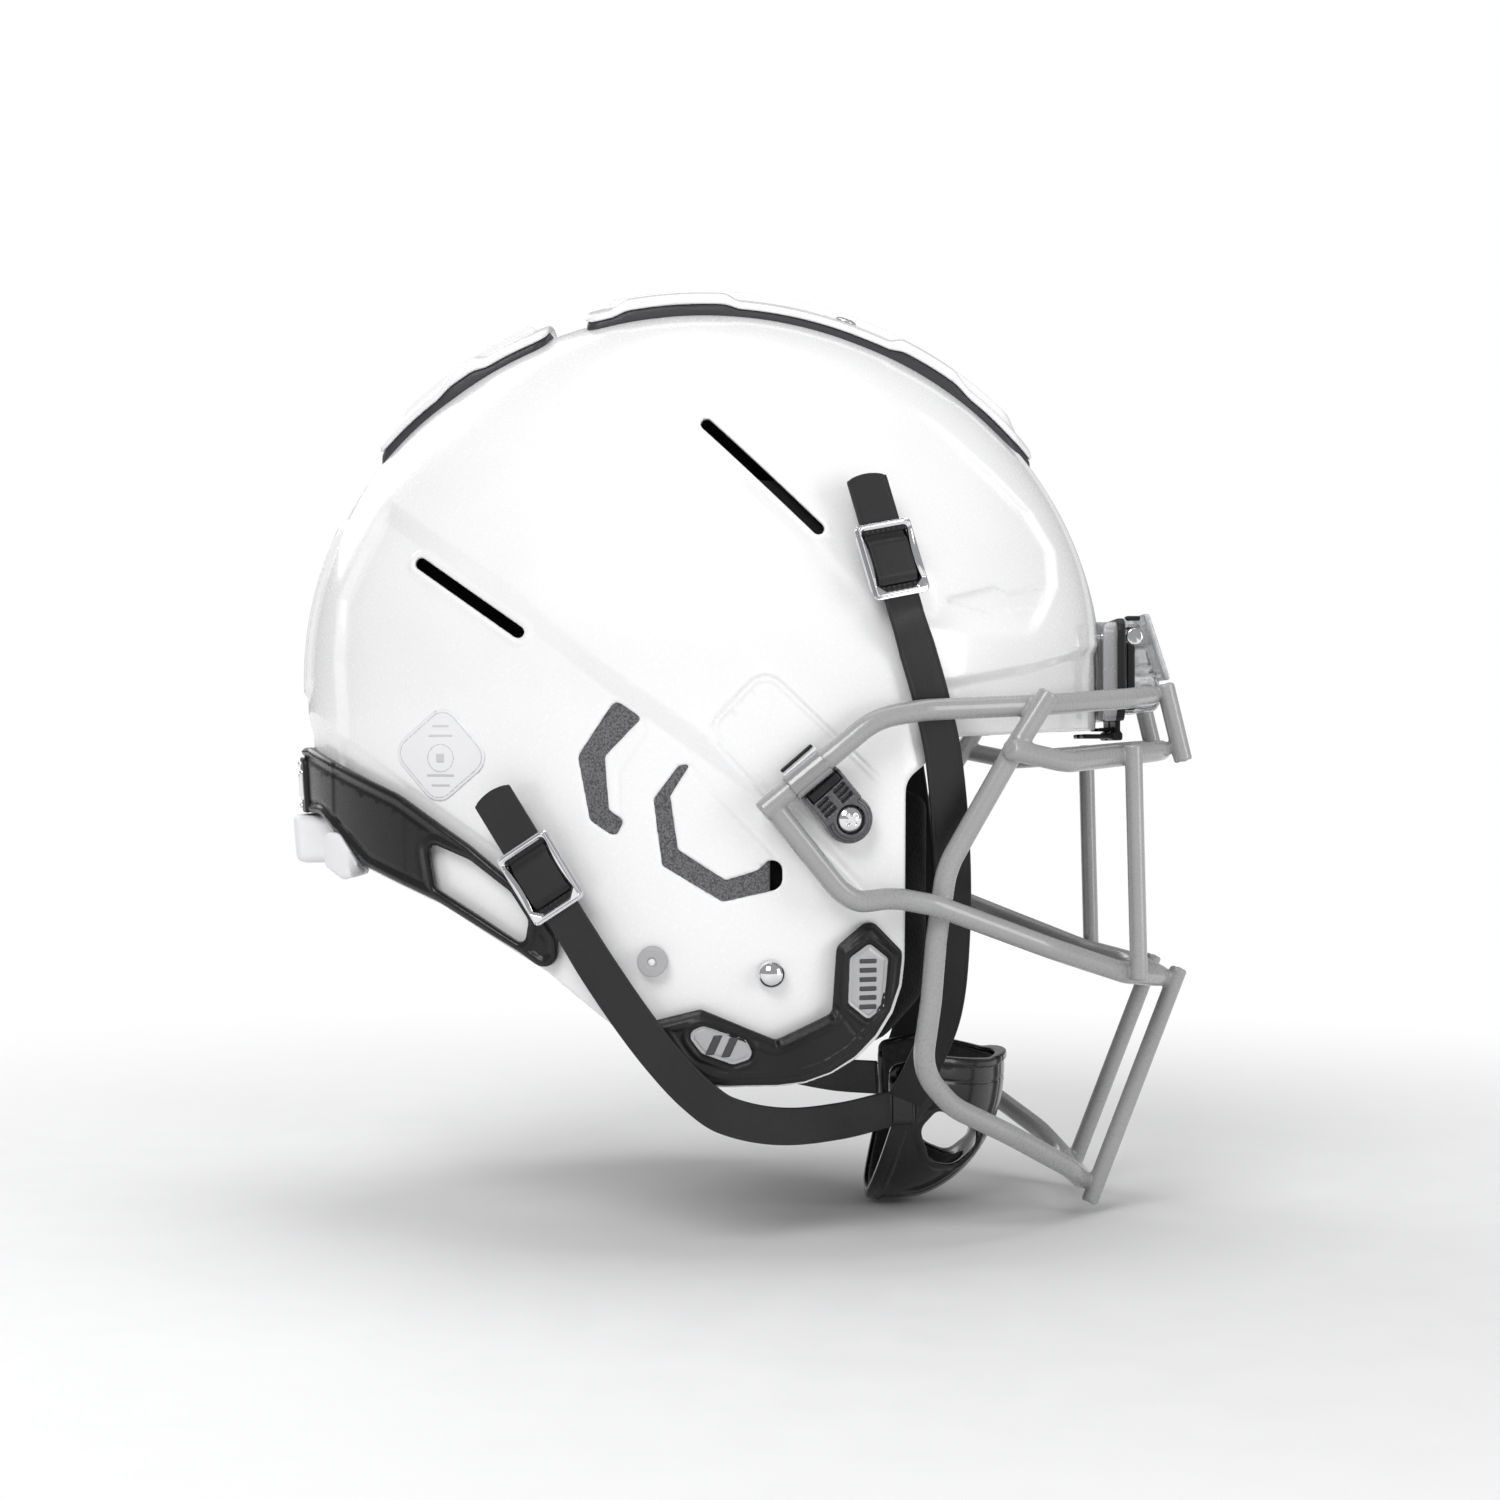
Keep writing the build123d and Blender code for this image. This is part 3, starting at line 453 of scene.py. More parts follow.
cover_plastic = finish("cover_plastic", (0.94, 0.95, 0.96), 0.12, clear=0.82, coat=0.3, grain=400,
                       bump=0.05, shift=0.02)
wrap_plastic = finish("wrap_plastic", (0.36, 0.36, 0.365), 0.16, clear=0.25, coat=0.5, grain=400, bump=0.02,
                      shift=0.02)
smoked_plastic = finish("smoked_plastic", (0.10, 0.10, 0.105), 0.28, clear=0.25, coat=0.3, grain=500,
                        bump=0.1)
frosted_plastic = finish("frosted_plastic", (0.62, 0.62, 0.63), 0.22, clear=0.45, coat=0.3, grain=500,
                         bump=0.1)
coated_wire = finish("coated_wire", (0.33, 0.33, 0.33), 0.30, coat=0.5, grain=900, bump=0.16, depth=0.0002,
                     shift=0.04, wear=0.12, wear_color=(0.24, 0.24, 0.24))
strap_black = finish("strap_black", (0.016, 0.016, 0.017), 0.46, grain=900, bump=0.3, depth=0.00025,
                     shift=0.15, shine=0.35)
cup_black = finish("cup_black", (0.007, 0.007, 0.008), 0.22, coat=0.3, shine=0.35, grain=900, bump=0.06,
                   shift=0.2)
liner_black = finish("liner_black", (0.022, 0.022, 0.024), 0.75, cells=420.0, bump=0.4, shift=0.3)

# ---- outlines seen from the right, as x and z
FAR = 400.0
SHELL_EDGE = rounded(
    (FAR, -18.6, 0), (146, -18.6, 8), (86, -21.5, 11), (68.5, -36, 8), (68.5, -137.5, 42), (-3, -137.5, 24),
    (-50, -99.5, 20), (-86, -78.5, 40), (-115, -67.2, 8), (-136.5, -49.3, 3), (-FAR, -49.3, 0),
    (-FAR, FAR, 0), (FAR, FAR, 0),
)
REAR_EAR_SLOT = rounded(
    (-18.6, -15.5, 1), (-27, -9.5, 2.5), (-39.3, -28, 3), (-35.3, -49, 2.5),
    (-27, -54.5, 2), (-24.3, -49, 1.5), (-29.3, -45.5, 1), (-30.6, -28, 1),
)
FRONT_EAR_SLOT = rounded(
    (-2.4, -30.2, 0.6), (-6.4, -31.2, 1.5), (-14.4, -42, 1), (-11.6, -63.6, 1), (8, -75.5, 1),
    (27.6, -71.2, 4), (27.5, -60.4, 3.4), (22.8, -62.4, 0.8), (19.5, -65.4, 2), (9, -68.6, 1),
    (-6.6, -58.6, 1), (-9.2, -41, 1),
)
UPPER_VENT = ((2.5, 83.0), (39.5, 47.0))
REAR_VENT = ((-94.6, 37.3), (-59.5, 13.0))
NAPE_VENT = ((24, 0), (24, 49))             # as the distance from the middle plane and z
VENT_HALF, NAPE_VENT_HALF = 1.95, 2.6
CLIP_POCKET = rounded((21.9, -0.5, 6), (3.6, -19.6, 6), (64, -83.5, 2), (80, -56, 2))
KNIFE = rounded((80, 24, 1), (100, 29.6, 1), (105, 27.3, 1), (121, 31.6, 2), (119.5, 24.2, 2),
                (98, 20.4, 12))
JAW_GUARD = rounded(
    (-16, -115, 1), (0.9, -110.7, 3), (25.5, -121.2, 3), (44, -112.6, 3), (45.4, -90.5, 4),
    (56.5, -81.2, 4), (67.4, -92.6, 2), (67.4, -136.2, 41), (-2.5, -136.2, 20),
)
JAW_FACET = rounded((25.5, -119.6, 2), (43.2, -111.2, 1), (45.0, -115.8, 1), (26.4, -124.6, 2))
FRONT_BADGE = rounded((49.5, -94, 2), (56.3, -89.2, 2), (63, -94.6, 2), (61.7, -111, 2), (56, -115.4, 2),
                      (49, -109.5, 2))
REAR_BADGE = rounded((-4.4, -118.5, 3), (1.5, -115.7, 3), (16, -120.2, 3), (18.8, -127, 3),
                     (11.5, -129.3, 3), (1, -125.4, 3))
BAND = rounded(
    (-FAR, -25, 0), (-140, -25, 0), (-101.3, -41, 30), (-76, -57.5, 30), (-56, -73.5, 12),
    (-46, -87.5, 4), (-46, -102, 5), (-59.5, -92.6, 20), (-87, -77, 40), (-115.5, -65.6, 8),
    (-135, -48.4, 3), (-FAR, -48.4, 0),
)
BAND_WINDOW = rounded(
    (-91, -56.6, 2), (-76, -62.5, 10), (-62, -72.8, 5), (-56, -82, 3), (-57.4, -90.6, 2),
    (-73, -81, 20), (-88.5, -72, 3),
)
LABEL_DEPTH, LABEL_X, LABEL_Z = 2.65, -86.6, -28.6        # how deep the label lies, and its middle
LABEL = rounded((-85.1, -9.7, 6.5), (-105.6, -26.2, 6.5), (-87.9, -45.5, 6.5), (-68, -29, 6.5))
NAPE_SIDE = rounded((-133, -54, 4), (-125, -54.8, 3), (-119.8, -61.5, 2), (-114.5, -68.5, 1.5),
                    (-124, -71, 2.5), (-132.5, -66.5, 2.5))


# ---- shell
DEEPEST = -3.2              # the skin stays outside the pads, which start at -4.1


def shell_relief(x, y, z):
    """How far the shell's skin stands over, or below, its plain form."""
    out = np.zeros(x.shape, np.float32)
    # the raised crown ends in a bevel that runs from the back down to the side clip
    edge = np.interp(x, (-118, -111, -65.6, -32, 0.8, 22.7, 45, 62),
                     (64, 58.7, 26.1, -0.5, -23.6, -40.5, -63, -82))
    low_side = 1.0 - ramp((z - edge) * 0.81 / 7.2 + 0.5)
    back = np.interp(z, (-60, -14, 5, 27, 53, 60), (-126, -126.5, -128, -127, -114, -110))
    out -= 2.9 * low_side * ramp((x - back) / 4.0) * (1.0 - ease((x - 42) / 20))
    # the step that the nape band sits below
    step_z = np.interp(x, (-140, -137, -113, -90, -67, -55, -35), (-17, -18, -32, -47, -62, -72, -92))
    out -= 1.8 * (1.0 - ramp((z - step_z) * 0.8 / 7.0 + 0.5)) * (1.0 - ease((x + 62) / 16))
    # temple facet, forehead strip and brow step
    facet = np.interp(z, (12, 25.4, 31.3, 44.1, 57.3, 69.5, 85.1, 95),
                      (114, 121.5, 124.6, 124.4, 116, 103, 85, 72))
    inward = (facet - x) * 0.75
    level = ease((z - 12) / 9) * (1.0 - ease((z - 74) / 22)) * ease((np.abs(y) - 22) / 14)
    out -= 2.6 * ramp(inward / 3.2) * (1.0 - ease((inward - 5) / 44)) * level
    strip = np.interp(z, (0, 12, 40, 75, 95), (38, 33, 24, 21, 20)) - np.abs(y)
    out += 1.0 * ramp((strip + 2) / 4) * ease((x - 84) / 10)
    brow = np.interp(x, (60, 84.3, 114.5, 137.8, 146), (-4, -2.1, 4.0, 10.9, 12.5))
    out -= 1.8 * ramp((brow - z) / 3.0) * ease((x - 70) / 16)
    # the shallow valley beside the upper vent
    valley = np.interp(x, (-18, -9.2, 26.9, 46.6, 66), (95, 86.8, 55.5, 36.6, 18))
    below = (valley - z) * 0.69
    fades = ease((x + 14) / 42) * (1.0 - ease((x - 36) / 26)) * (1.0 - ease((below - 5) / 26))
    out -= 2.6 * ease(below / 5) * fades
    # pockets and thin lines
    pocket = outline(x, z, CLIP_POCKET)
    fading = 1.0 - ease((x - 54) / 8)
    out -= (1.2 * ramp((0.4 - pocket) / 1.1) + 1.1 * ring(pocket, 0.9, 1.0)) * fading
    knife = outline(x, z, KNIFE)
    out -= 1.5 * ramp((0.4 - knife) / 1.0)
    out -= 0.4 * ring(route(x, z, ((-18.5, -15.2), (-17.4, -19.7), (-26.2, -33.2), (-25.6, -48))), 0, 1.0)
    out -= 0.4 * ring(route(x, z, ((-3.0, -30.6), (25.4, -60.8))), 0, 1.0)
    out += 0.9 * ring(route(x, z, REAR_VENT), 3.5, 2.0)
    out += 0.4 * ring(route(x, z, UPPER_VENT), 3.2, 1.7)
    out += np.where(x < -95, 1.7 * ring(route(np.abs(y), z, NAPE_VENT), 5.2, 3.2), 0.0)
    return np.maximum(out, DEEPEST)


def shell_field(x, y, z):
    height = egg(x, y, z)
    value = np.full(x.shape, OUTSIDE, np.float32)
    far = np.abs(height + 1.5) > 12.0
    value[far] = np.maximum(height, -height - WALL)[far]
    near = ~far
    x, y, z, height = x[near], y[near], z[near], height[near]
    relief = shell_relief(x, y, z)
    skin = both(height - relief, np.minimum(-WALL, relief - 1.9) - height, 0.7)
    skin = both(skin, outline(x, z, SHELL_EDGE), 1.1)
    for slot in (outline(x, z, REAR_EAR_SLOT), outline(x, z, FRONT_EAR_SLOT),
                 route(x, z, UPPER_VENT) - VENT_HALF, route(x, z, REAR_VENT) - VENT_HALF):
        skin = both(skin, -slot, 0.6)
    skin = both(skin, np.where(x < -95, NAPE_VENT_HALF - route(np.abs(y), z, NAPE_VENT), -9.0), 0.8)
    value[near] = skin
    return value


shell = solid(shell_field, (-149, -123, -141), (149, 123, 139), 0.8, 0.0012)
piece("shell_moulding", shell, shell_white, "shell", ["shell"], "shell_white")

# ---- crown plates and their cushions
FRONT_PLAN = rounded(
    (-42, -37, 6), (58, -34, 40), (113, -22, 8), (120, -12, 6), (120, 12, 6), (113, 22, 8), (58, 34, 40),
    (-42, 37, 6),
)
REAR_PLAN = rounded((-117, -24, 8), (-90, -35, 20), (-55, -37, 6), (-55, 37, 6), (-90, 35, 20),
                    (-117, 24, 8))
FRONT_SCREWS = ((-28, 0), (50, -20), (50, 20), (98, 0))
REAR_SCREWS = ((-64, 0), (-103, 0))


def bumps(x, spans):
    return sum(ease((x - a) / 7) * (1.0 - ease((x - b + 7) / 7)) for a, b in spans)


def crown_parts(plan, screws, spans, rib, screw_reach):
    """(plate, cushion) fields for one floating crown plate."""
    def underside(x, edge):
        return 2.35 + 1.3 * bumps(x, spans) * ease((edge + 9.0) / 3.0)

    def plate(x, y, z):
        height, edge = egg(x, y, z), outline(x, y, plan)
        middle = ease((rib - np.abs(y)) / 3.5 + 0.5) * ease((-edge - 5.0) / 4.0)
        top = 4.9 + 2.4 * bumps(x, spans) * ease((edge + 9.0) / 3.0) + 2.6 * middle
        for sx, sy in screws:
            off = length(x - sx, y - sy)
            top = top + (4.7 - top) * (1.0 - ease((off - screw_reach) / 2.5))
        flat = both(height - top, underside(x, edge) + 0.05 - height, 0.4)
        return both(flat, edge, 1.6) + np.where(z < 0, OUTSIDE, 0.0)

    def cushion(x, y, z):
        height, edge = egg(x, y, z), outline(x, y, plan)
        flat = both(height - underside(x, edge), -0.6 - height, 0.3)
        return both(flat, edge + 0.6, 0.8) + np.where(z < 0, OUTSIDE, 0.0)

    return plate, cushion


for name, plan, screws, spans, rib, low, high, axis, anchor, keep in (
    ("front", FRONT_PLAN, FRONT_SCREWS, ((-33, 14), (66, 97)), 13.0, (-46, -41, 68), (124, 41, 146),
     (-0.28, 0, -0.96), (0.06, 0, -0.098), 0.9945),
    ("rear", REAR_PLAN, REAR_SCREWS, ((-96, -76),), 14.0, (-121, -41, 72), (-51, 41, 138),
     (0.593, 0, -0.805), (0.007, 0, -0.07), 0.9945),
):
    plate, cushion = crown_parts(plan, screws, spans, rib, 4.8)
    body = f"{name}_plate"
    piece(f"{name}_crown_plate_moulding", solid(plate, low, high, 0.7, 0.002), plate_white, body,
          [f"{name}_crown_plate"], "plate_white")
    soft = piece(f"{name}_crown_cushion_strip", solid(cushion, low, high, 0.7, 0.002), cushion_black,
                 "shell", [f"{name}_crown_cushion"], "black_tpu", pad=0.9)
    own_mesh(soft)
    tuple(axis)
    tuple(anchor)


def crown_seat(x, y, lift):
    """The seat over an (x, y) place on the crown, with u level across the middle plane."""
    z = CROWN * math.sqrt(1 - (x / LENGTH) ** 2 - (y / WIDTH) ** 2)
    w = np.array((x / LENGTH**2, y / WIDTH**2, z / CROWN**2))
    return seat_on(x, y, z, CROWN, lift, np.cross((0.0, 1.0, 0.0), w))


def screw(head_r, head, dome, drive, shank_r, shank):
    """A screw with a domed head over w = 0, a cross or star drive, and its shank below."""
    def field(u, v, w):
        off = length(u, v)
        sphere_r = (head_r**2 + dome**2) / (2 * dome)
        cap = length(off, w - head - dome + sphere_r) - sphere_r
        top = both(both(cap, off - head_r, 0.5), -w, 0.3)
        arms = np.full(u.shape, OUTSIDE)
        for k in range(drive):
            turn = math.pi * k / drive
            along, across = u * math.cos(turn) + v * math.sin(turn), v * math.cos(turn) - u * math.sin(turn)
            arms = np.minimum(arms, panel(along, across, 0.52 * head_r, 0.13 * head_r, 0.1 * head_r))
        top = both(top, -both(arms, (head + dome - 1.3) - w, 0.1), 0.15)
        return either(top, both(off - shank_r, np.abs(w + shank / 2) - shank / 2 - 0.1, 0.1), 0.1)

    size = head_r + 0.6
    return solid(field, (-size, -size, -shank - 0.5), (size, size, head + dome + 0.5), 0.22, 0.001)


plate_screw = screw(4.1, 0.5, 0.9, 3, 2.3, 4.0)
seats = [crown_seat(x, y, 4.75) for x, y in FRONT_SCREWS + REAR_SCREWS]
piece("crown_plate_screws", joined([placed(plate_screw, s) for s in seats]), steel, "shell",
      ["plate_screws"], "steel")

# ---- nape band, badge and edge blocks
def band_field(x, y, z):
    height = egg(x, y, z)
    edge = both(outline(x, z, BAND), -outline(x, z, BAND_WINDOW), 0.5)
    rim = ring(edge, -1.7, 1.5)
    groove = ring(edge, -3.9, 0.9)
    step = 0.5 * ramp((x + 128.4) / 0.9) + 0.2 * ramp((x + 100) / 0.9)
    top = 2.1 + 0.9 * rim - 0.5 * groove - step
    return both(both(height - top, -2.9 - height, 0.4), edge, 0.9)


piece("nape_band", solid(band_field, (-151, -118, -106), (-42, 118, -22), 0.75, 0.003), gloss_black,
      "shell", ["rear_band"], "black_plastic")


def badge_field(x, y, z):
    height = egg(x, y, z)
    plate = both(height - 3.6, 1.5 - height, 0.3)
    return both(plate, panel(y, z + 38.5, 31, 10, 3), 0.8) + np.where(x > 0, OUTSIDE, 0.0)


def badge_trim_field(x, y, z):
    height = egg(x, y, z)
    shape = np.full(x.shape, OUTSIDE)
    for cy, cz, hy, hz in ((0, -38.5, 21, 4.2), (0, -31.0, 25, 1.0), (0, -46.0, 20, 1.0),
                           (-27, -38.5, 1.6, 5.5), (27, -38.5, 1.6, 5.5)):
        shape = np.minimum(shape, panel(y - cy, z - cz, hy, hz, 0.9))
    return both(both(height - 4.5, 3.0 - height, 0.4), shape, 0.5) + np.where(x > 0, OUTSIDE, 0.0)


piece("nape_badge_base", solid(badge_field, (-152, -34, -51), (-135, 34, -26), 0.6, 0.003), satin_black,
      "shell", ["rear_badge"], "black_plastic")
piece("nape_badge_trim", solid(badge_trim_field, (-152, -34, -51), (-135, 34, -26), 0.5, 0.003), chrome,
      "shell", slot="badge_chrome")


def nape_field(x, y, z):
    height = egg(x, y, z)
    middle = both(both(height - 7.2, -7.5 - height, 3.0), panel(y, z + 57.8, 35.5, 8.4, 4), 2.5)
    middle = middle + 1.3 * ring(np.abs(y), 18, 2.5) * ease((height - 2) / 3)
    side = both(both(height - 4.0, -7.5 - height, 2.0), outline(x, z, NAPE_SIDE), 1.5)
    side = both(side, 39.0 - np.abs(y), 1.5)
    return np.minimum(middle, side) + np.where(x > -60, OUTSIDE, 0.0)


piece("nape_edge_blocks", solid(nape_field, (-157, -68, -92), (-84, 68, -46), 0.8, 0.003), white_rubber,
      "shell", ["nape_blocks"], "white_rubber")


# ---- jaw guards, plain badges and labels
def guard_field(x, y, z):
    height, edge = egg(x, y, z), outline(x, z, JAW_GUARD)
    badge = np.minimum(outline(x, z, FRONT_BADGE), outline(x, z, REAR_BADGE))
    top = 1.9 + 1.5 * ease((-edge - 0.6) / 2.4) - 0.7 * ease((-edge - 4.2) / 1.0)
    facet = outline(x, z, JAW_FACET)
    top = top + 1.3 * ease((0.5 - facet) / 1.4)
    top = top + 0.7 * ring(badge, 1.5, 1.2) - 1.0 * ease((0.5 - badge) / 0.8)
    top = top - 0.5 * ring(route(x, z, ((44.8, -110), (52, -119.5), (60, -124))), 0, 0.9)
    return both(both(height - top, -1.6 - height, 0.4), edge, 0.8)


guard = solid(guard_field, (-20, -124, -140), (70, -84, -78), 0.55, 0.003)


def jaw_badge_field(x, y, z):
    height = egg(x, y, z)
    edge = np.minimum(outline(x, z, FRONT_BADGE), outline(x, z, REAR_BADGE))
    top = 2.5 - 0.35 * ring(edge, -1.1, 0.6)
    return both(both(height - top, 0.8 - height, 0.2), edge + 0.15, 0.3)


def jaw_mark_field(x, y, z):
    height = egg(x, y, z)
    shape = np.full(x.shape, OUTSIDE)
    for k in range(6):                                  # a plain ladder of bars on the front badge
        shape = np.minimum(shape, panel(x - 55.9, z + 95.4 + 3.05 * k, 2.9, 0.85, 0.2))
    for k in range(2):                                  # two slanted bars on the rear one
        u, v = x - 5.2 - 5.2 * k, z + 122.4 + 0.8 * k
        shape = np.minimum(shape, panel(u - 0.45 * v, v, 1.5, 3.3, 0.3) * 0.9)
    return both(both(height - 2.75, 1.5 - height, 0.1), shape, 0.15)


for side, turned in SIDES:
    piece(f"{side}_jaw_guard_moulding", turned(guard), satin_black, "shell", [f"{side}_jaw_guard"],
          "black_plastic")
jaw_badge = solid(jaw_badge_field, (-7, -124, -132), (66, -96, -87), 0.4, 0.003)
piece("jaw_badge_plates", pair(jaw_badge), badge_grey, "shell", ["jaw_badges"], "badge_grey")
jaw_mark = solid(jaw_mark_field, (-7, -124, -132), (66, -96, -87), 0.35, 0.003)
piece("jaw_badge_marks", pair(jaw_mark), badge_dark, "shell", slot="black_plastic")


def label_field(x, y, z):
    base = egg(x, y, z) + LABEL_DEPTH
    return both(both(base - 0.32, -0.8 - base, 0.1), outline(x, z, LABEL), 0.2)


def label_mark_field(x, y, z):
    base = egg(x, y, z) + LABEL_DEPTH
    edge = outline(x, z, LABEL)
    shape = np.abs(edge + 1.2) - 0.28
    ring_d = np.abs(length(x - LABEL_X, z - LABEL_Z) - 4.6) - 0.3
    shape = np.minimum(shape, ring_d)
    shape = np.minimum(shape, panel(x - LABEL_X, z - LABEL_Z, 1.6, 1.6, 0.4))
    for k, half in ((-3, 3.0), (-2, 4.4), (2, 5.0), (3, 3.4)):
        shape = np.minimum(shape, panel(x - LABEL_X, z - LABEL_Z - 0.8 + 3.3 * k, half, 0.5, 0.2))
    return both(both(base - 0.42, -0.2 - base, 0.05), shape, 0.08)


label = solid(label_field, (-108, -108, -48), (-66, -76, -7), 0.5, 0.003)
piece("side_label_films", pair(label), label_white, "shell", ["side_labels"], "label_white")
label_mark = solid(label_mark_field, (-108, -108, -48), (-66, -76, -7), 0.32, 0.003)
piece("side_label_marks", pair(label_mark), label_ink, "shell", slot="label_white")


# ---- studs and rivets
def stud_field(u, v, w):
    off = length(u, v)
    flange = both(both(off - 5.0, w - 1.2, 0.7), -2.5 - w, 0.1)
    ball = both(length(off, w - 0.9) - 3.35, w - 3.7, 0.8)
    neck = either(flange, ball, 0.4)
    return both(neck, -(length(off, w - 4.3) - 1.3), 0.3)


def dome_field(u, v, w):
    off = length(u, v)
    return both(both(length(off, w + 2.57) - 5.27, off - 4.6, 0.3), -2.5 - w, 0.1)


def washer_field(u, v, w):
    off = length(u, v)
    disc = both(both(off - 4.9, w - 1.1, 0.4), -2.5 - w, 0.1)
    return both(disc, -both(off - 1.5, 0.4 - w, 0.2), 0.3)


def washer_pin_field(u, v, w):
    off = length(u, v)
    return both(length(off, w + 0.9) - 1.9, off - 1.3, 0.2)


stud = solid(stud_field, (-5.6, -5.6, -3), (5.6, 5.6, 4.6), 0.28, 0.001)
washer = solid(washer_field, (-5.6, -5.6, -3), (5.6, 5.6, 1.8), 0.3, 0.001)
pin = solid(washer_pin_field, (-2, -2, -3), (2, 2, 1.6), 0.25, 0.001)
dome = solid(dome_field, (-5.2, -5.2, -3), (5.2, 5.2, 3.2), 0.28, 0.001)
spots = [placed(stud, seat(UPPER_SNAP)), placed(stud, seat(LOWER_SNAP)), placed(dome, seat(SPARE_SNAP))]
piece("snap_stud_set", joined(spots + [mirrored(s) for s in spots]), chrome, "shell", ["snap_studs"],
      "chrome")
for name, shape, look, nodes, material in (
    ("pad_rivet_washers", washer, washer_grey, ["pad_rivets"], "rivet_grey"),
    ("pad_rivet_pins", pin, label_white, [], "rivet_grey"),
):
    right = placed(shape, seat(RIVET))
    piece(name, pair(right), look, "shell", nodes, material)


# ---- padding
def head_form(x, y, z):
    return egg(x, y, z, HEAD_LENGTH, HEAD_WIDTH, HEAD_CROWN, HEAD_SKIRT)


def pad_layer(x, y, z, dent):
    """The space between shell and head, its inner face dented by the quilting."""
    return both(egg(x, y, z) + PAD_DEPTH, -(head_form(x, y, z) - 0.4 - dent), 4.0)


def quilting(u, v, pitch_u, pitch_v, lean=0.0):
    """Dents along two families of stitched lines."""
    first = np.abs((u + lean * v + pitch_u / 2) % pitch_u - pitch_u / 2)
    second = np.abs((v + pitch_v / 2) % pitch_v - pitch_v / 2)
    return 2.6 * (1 - ease(first / 4.5)) + 2.6 * (1 - ease(second / 4.5))


CROWN_SPOKES = 12


def crown_pad_field(x, y, z):
    turn = np.arctan2(y, x)
    spoke = np.abs((turn * CROWN_SPOKES / math.tau + 0.5) % 1.0 - 0.5) * math.tau / CROWN_SPOKES * length(x,
                                                                                                          y)
    dent = 2.8 * (1 - ease(spoke / 4.5)) + 2.8 * ring(length(x, y), 22, 4.5)
    cut = both(66.5 - z, (length(x / 96, y / 80) - 1) * 80, 4)
    return both(pad_layer(x, y, z, dent), cut, 4)


def side_pad_field(x, y, z):
    cut = panel(x - 4, z - 31.2, 47.6, 32.8, 11)
    return both(pad_layer(x, y, z, quilting(x - 4, z - 31, 32, 33)), cut, 3.5)


def front_pad_field(x, y, z):
    cut = both(panel(y, z - 25, 62.6, 39.1, 12), 54.4 - x, 3)
    for side in (-1, 1):
        hole = length(y - side * FRONT_CLIP_Y, z - FRONT_SCREW_Z) - 7.2
        cut = both(cut, -both(hole, 128.0 - x, 0.5), 0.8)
    return both(pad_layer(x, y, z, quilting(y, z - 25, 42, 39)), cut, 3.5)


def back_pad_field(x, y, z):
    cut = both(panel(y, z - 30, 67.6, 34.1, 12), x + 46.5, 3)
    return both(pad_layer(x, y, z, quilting(y, z - 30, 34, 34)), cut, 3.5)


def nape_pad_field(x, y, z):
    cut = both(panel(y, z + 28, 59.6, 20.6, 10), x + 62.5, 3)
    return both(pad_layer(x, y, z, quilting(y, z + 28, 40, 60)), cut, 3.5)


JAW_PAD = rounded((14, -34, 8), (58, -34, 6), (77, -42, 6), (77, -108, 12), (62, -124, 12), (24, -131, 10),
                  (10, -112, 10))


def jaw_pad_field(x, y, z):
    edge = outline(x, z, JAW_PAD, 12)
    dent = quilting(x - 44, z + 80, 90, 30) * ease((-edge - 3) / 4) + 1.5 * ring(edge, -6.5, 2.2)
    layer = both(egg(x, y, z) + 9.0, -(egg(x, y, z, 140, 74, HEAD_CROWN, HEAD_SKIRT) - 0.4 - dent), 4.5)
    return both(layer, edge + 0.5, 4.0)


def ear_foam_field(x, y, z):
    height = egg(x, y, z)
    return both(both(height + 3.75, -8.4 - height, 0.5),
                outline(x, z, rounded((-20, -6, 4), (-44, -26, 6), (-40, -57, 6), (8, -82, 6),
                                      (23.6, -80, 0.5), (23.6, -56, 0.5), (4, -24, 4))), 1.0)


PAD_STEP = 1.4


def pad_solid(field, low, high):
    return solid(field, low, high, PAD_STEP, 0.004)


for name, field, low, high, fill in (
    ("crown_pad", crown_pad_field, (-100, -84, 60), (100, 84, 134), 0.7),
    ("front_pad", front_pad_field, (50, -66, -18), (144, 66, 68), 0.7),
    ("back_pad", back_pad_field, (-144, -71, -8), (-42, 71, 68), 0.7),
    ("nape_pad", nape_pad_field, (-144, -63, -52), (-58, 63, -4), 0.6),
):
    piece(f"{name}_cover", pad_solid(field, low, high), pad_knit, "shell", [name], "pad_fabric", fill)
side_pad = pad_solid(side_pad_field, (-48, -118, -6), (56, -46, 68))
jaw_pad = pad_solid(jaw_pad_field, (6, -114, -135), (81, -54, -30))
for side, turned in SIDES:
    for name, shape in ((f"{side}_side_pad", side_pad), (f"{side}_jaw_pad", jaw_pad)):
        piece(f"{name}_cover", turned(shape), pad_knit, "shell", [name], "pad_fabric", 0.7)
ear_foam = solid(ear_foam_field, (-48, -121, -86), (38, -100, -2), 0.8, 0.003)
piece("ear_foam_sheets", pair(ear_foam), bead_foam, "shell", ["ear_foam"], "grey_foam", 0.9)

# ---- front bumper and clips
BASE_SIDE = rounded((144, -15.7, 1.5), (152, -15.7, 0.6), (152, 20.7, 0.6), (144, 20.7, 3.5))


def base_field(x, y, z):
    body = block(x - 143.9, y, z - 2.5, (5.8, 28, 18.2), 1.2)
    face = panel(y, z - 2.5, 28, 18.2, 5)
    body = both(body, face, 0.8)
    body = both(body, -egg(x, y, z) + 0.3, 0.3)
    body = both(body, np.minimum(outline(x, z, BASE_SIDE), np.abs(y) - 20.0), 0.4)
    hollow = np.minimum(panel(y, z - 3, 7, 12, 2), panel(np.abs(y) - 25.5, z - 3, 1.5, 12, 1))
    return both(body, -both(hollow, 146.8 - x, 0.4), 0.6)


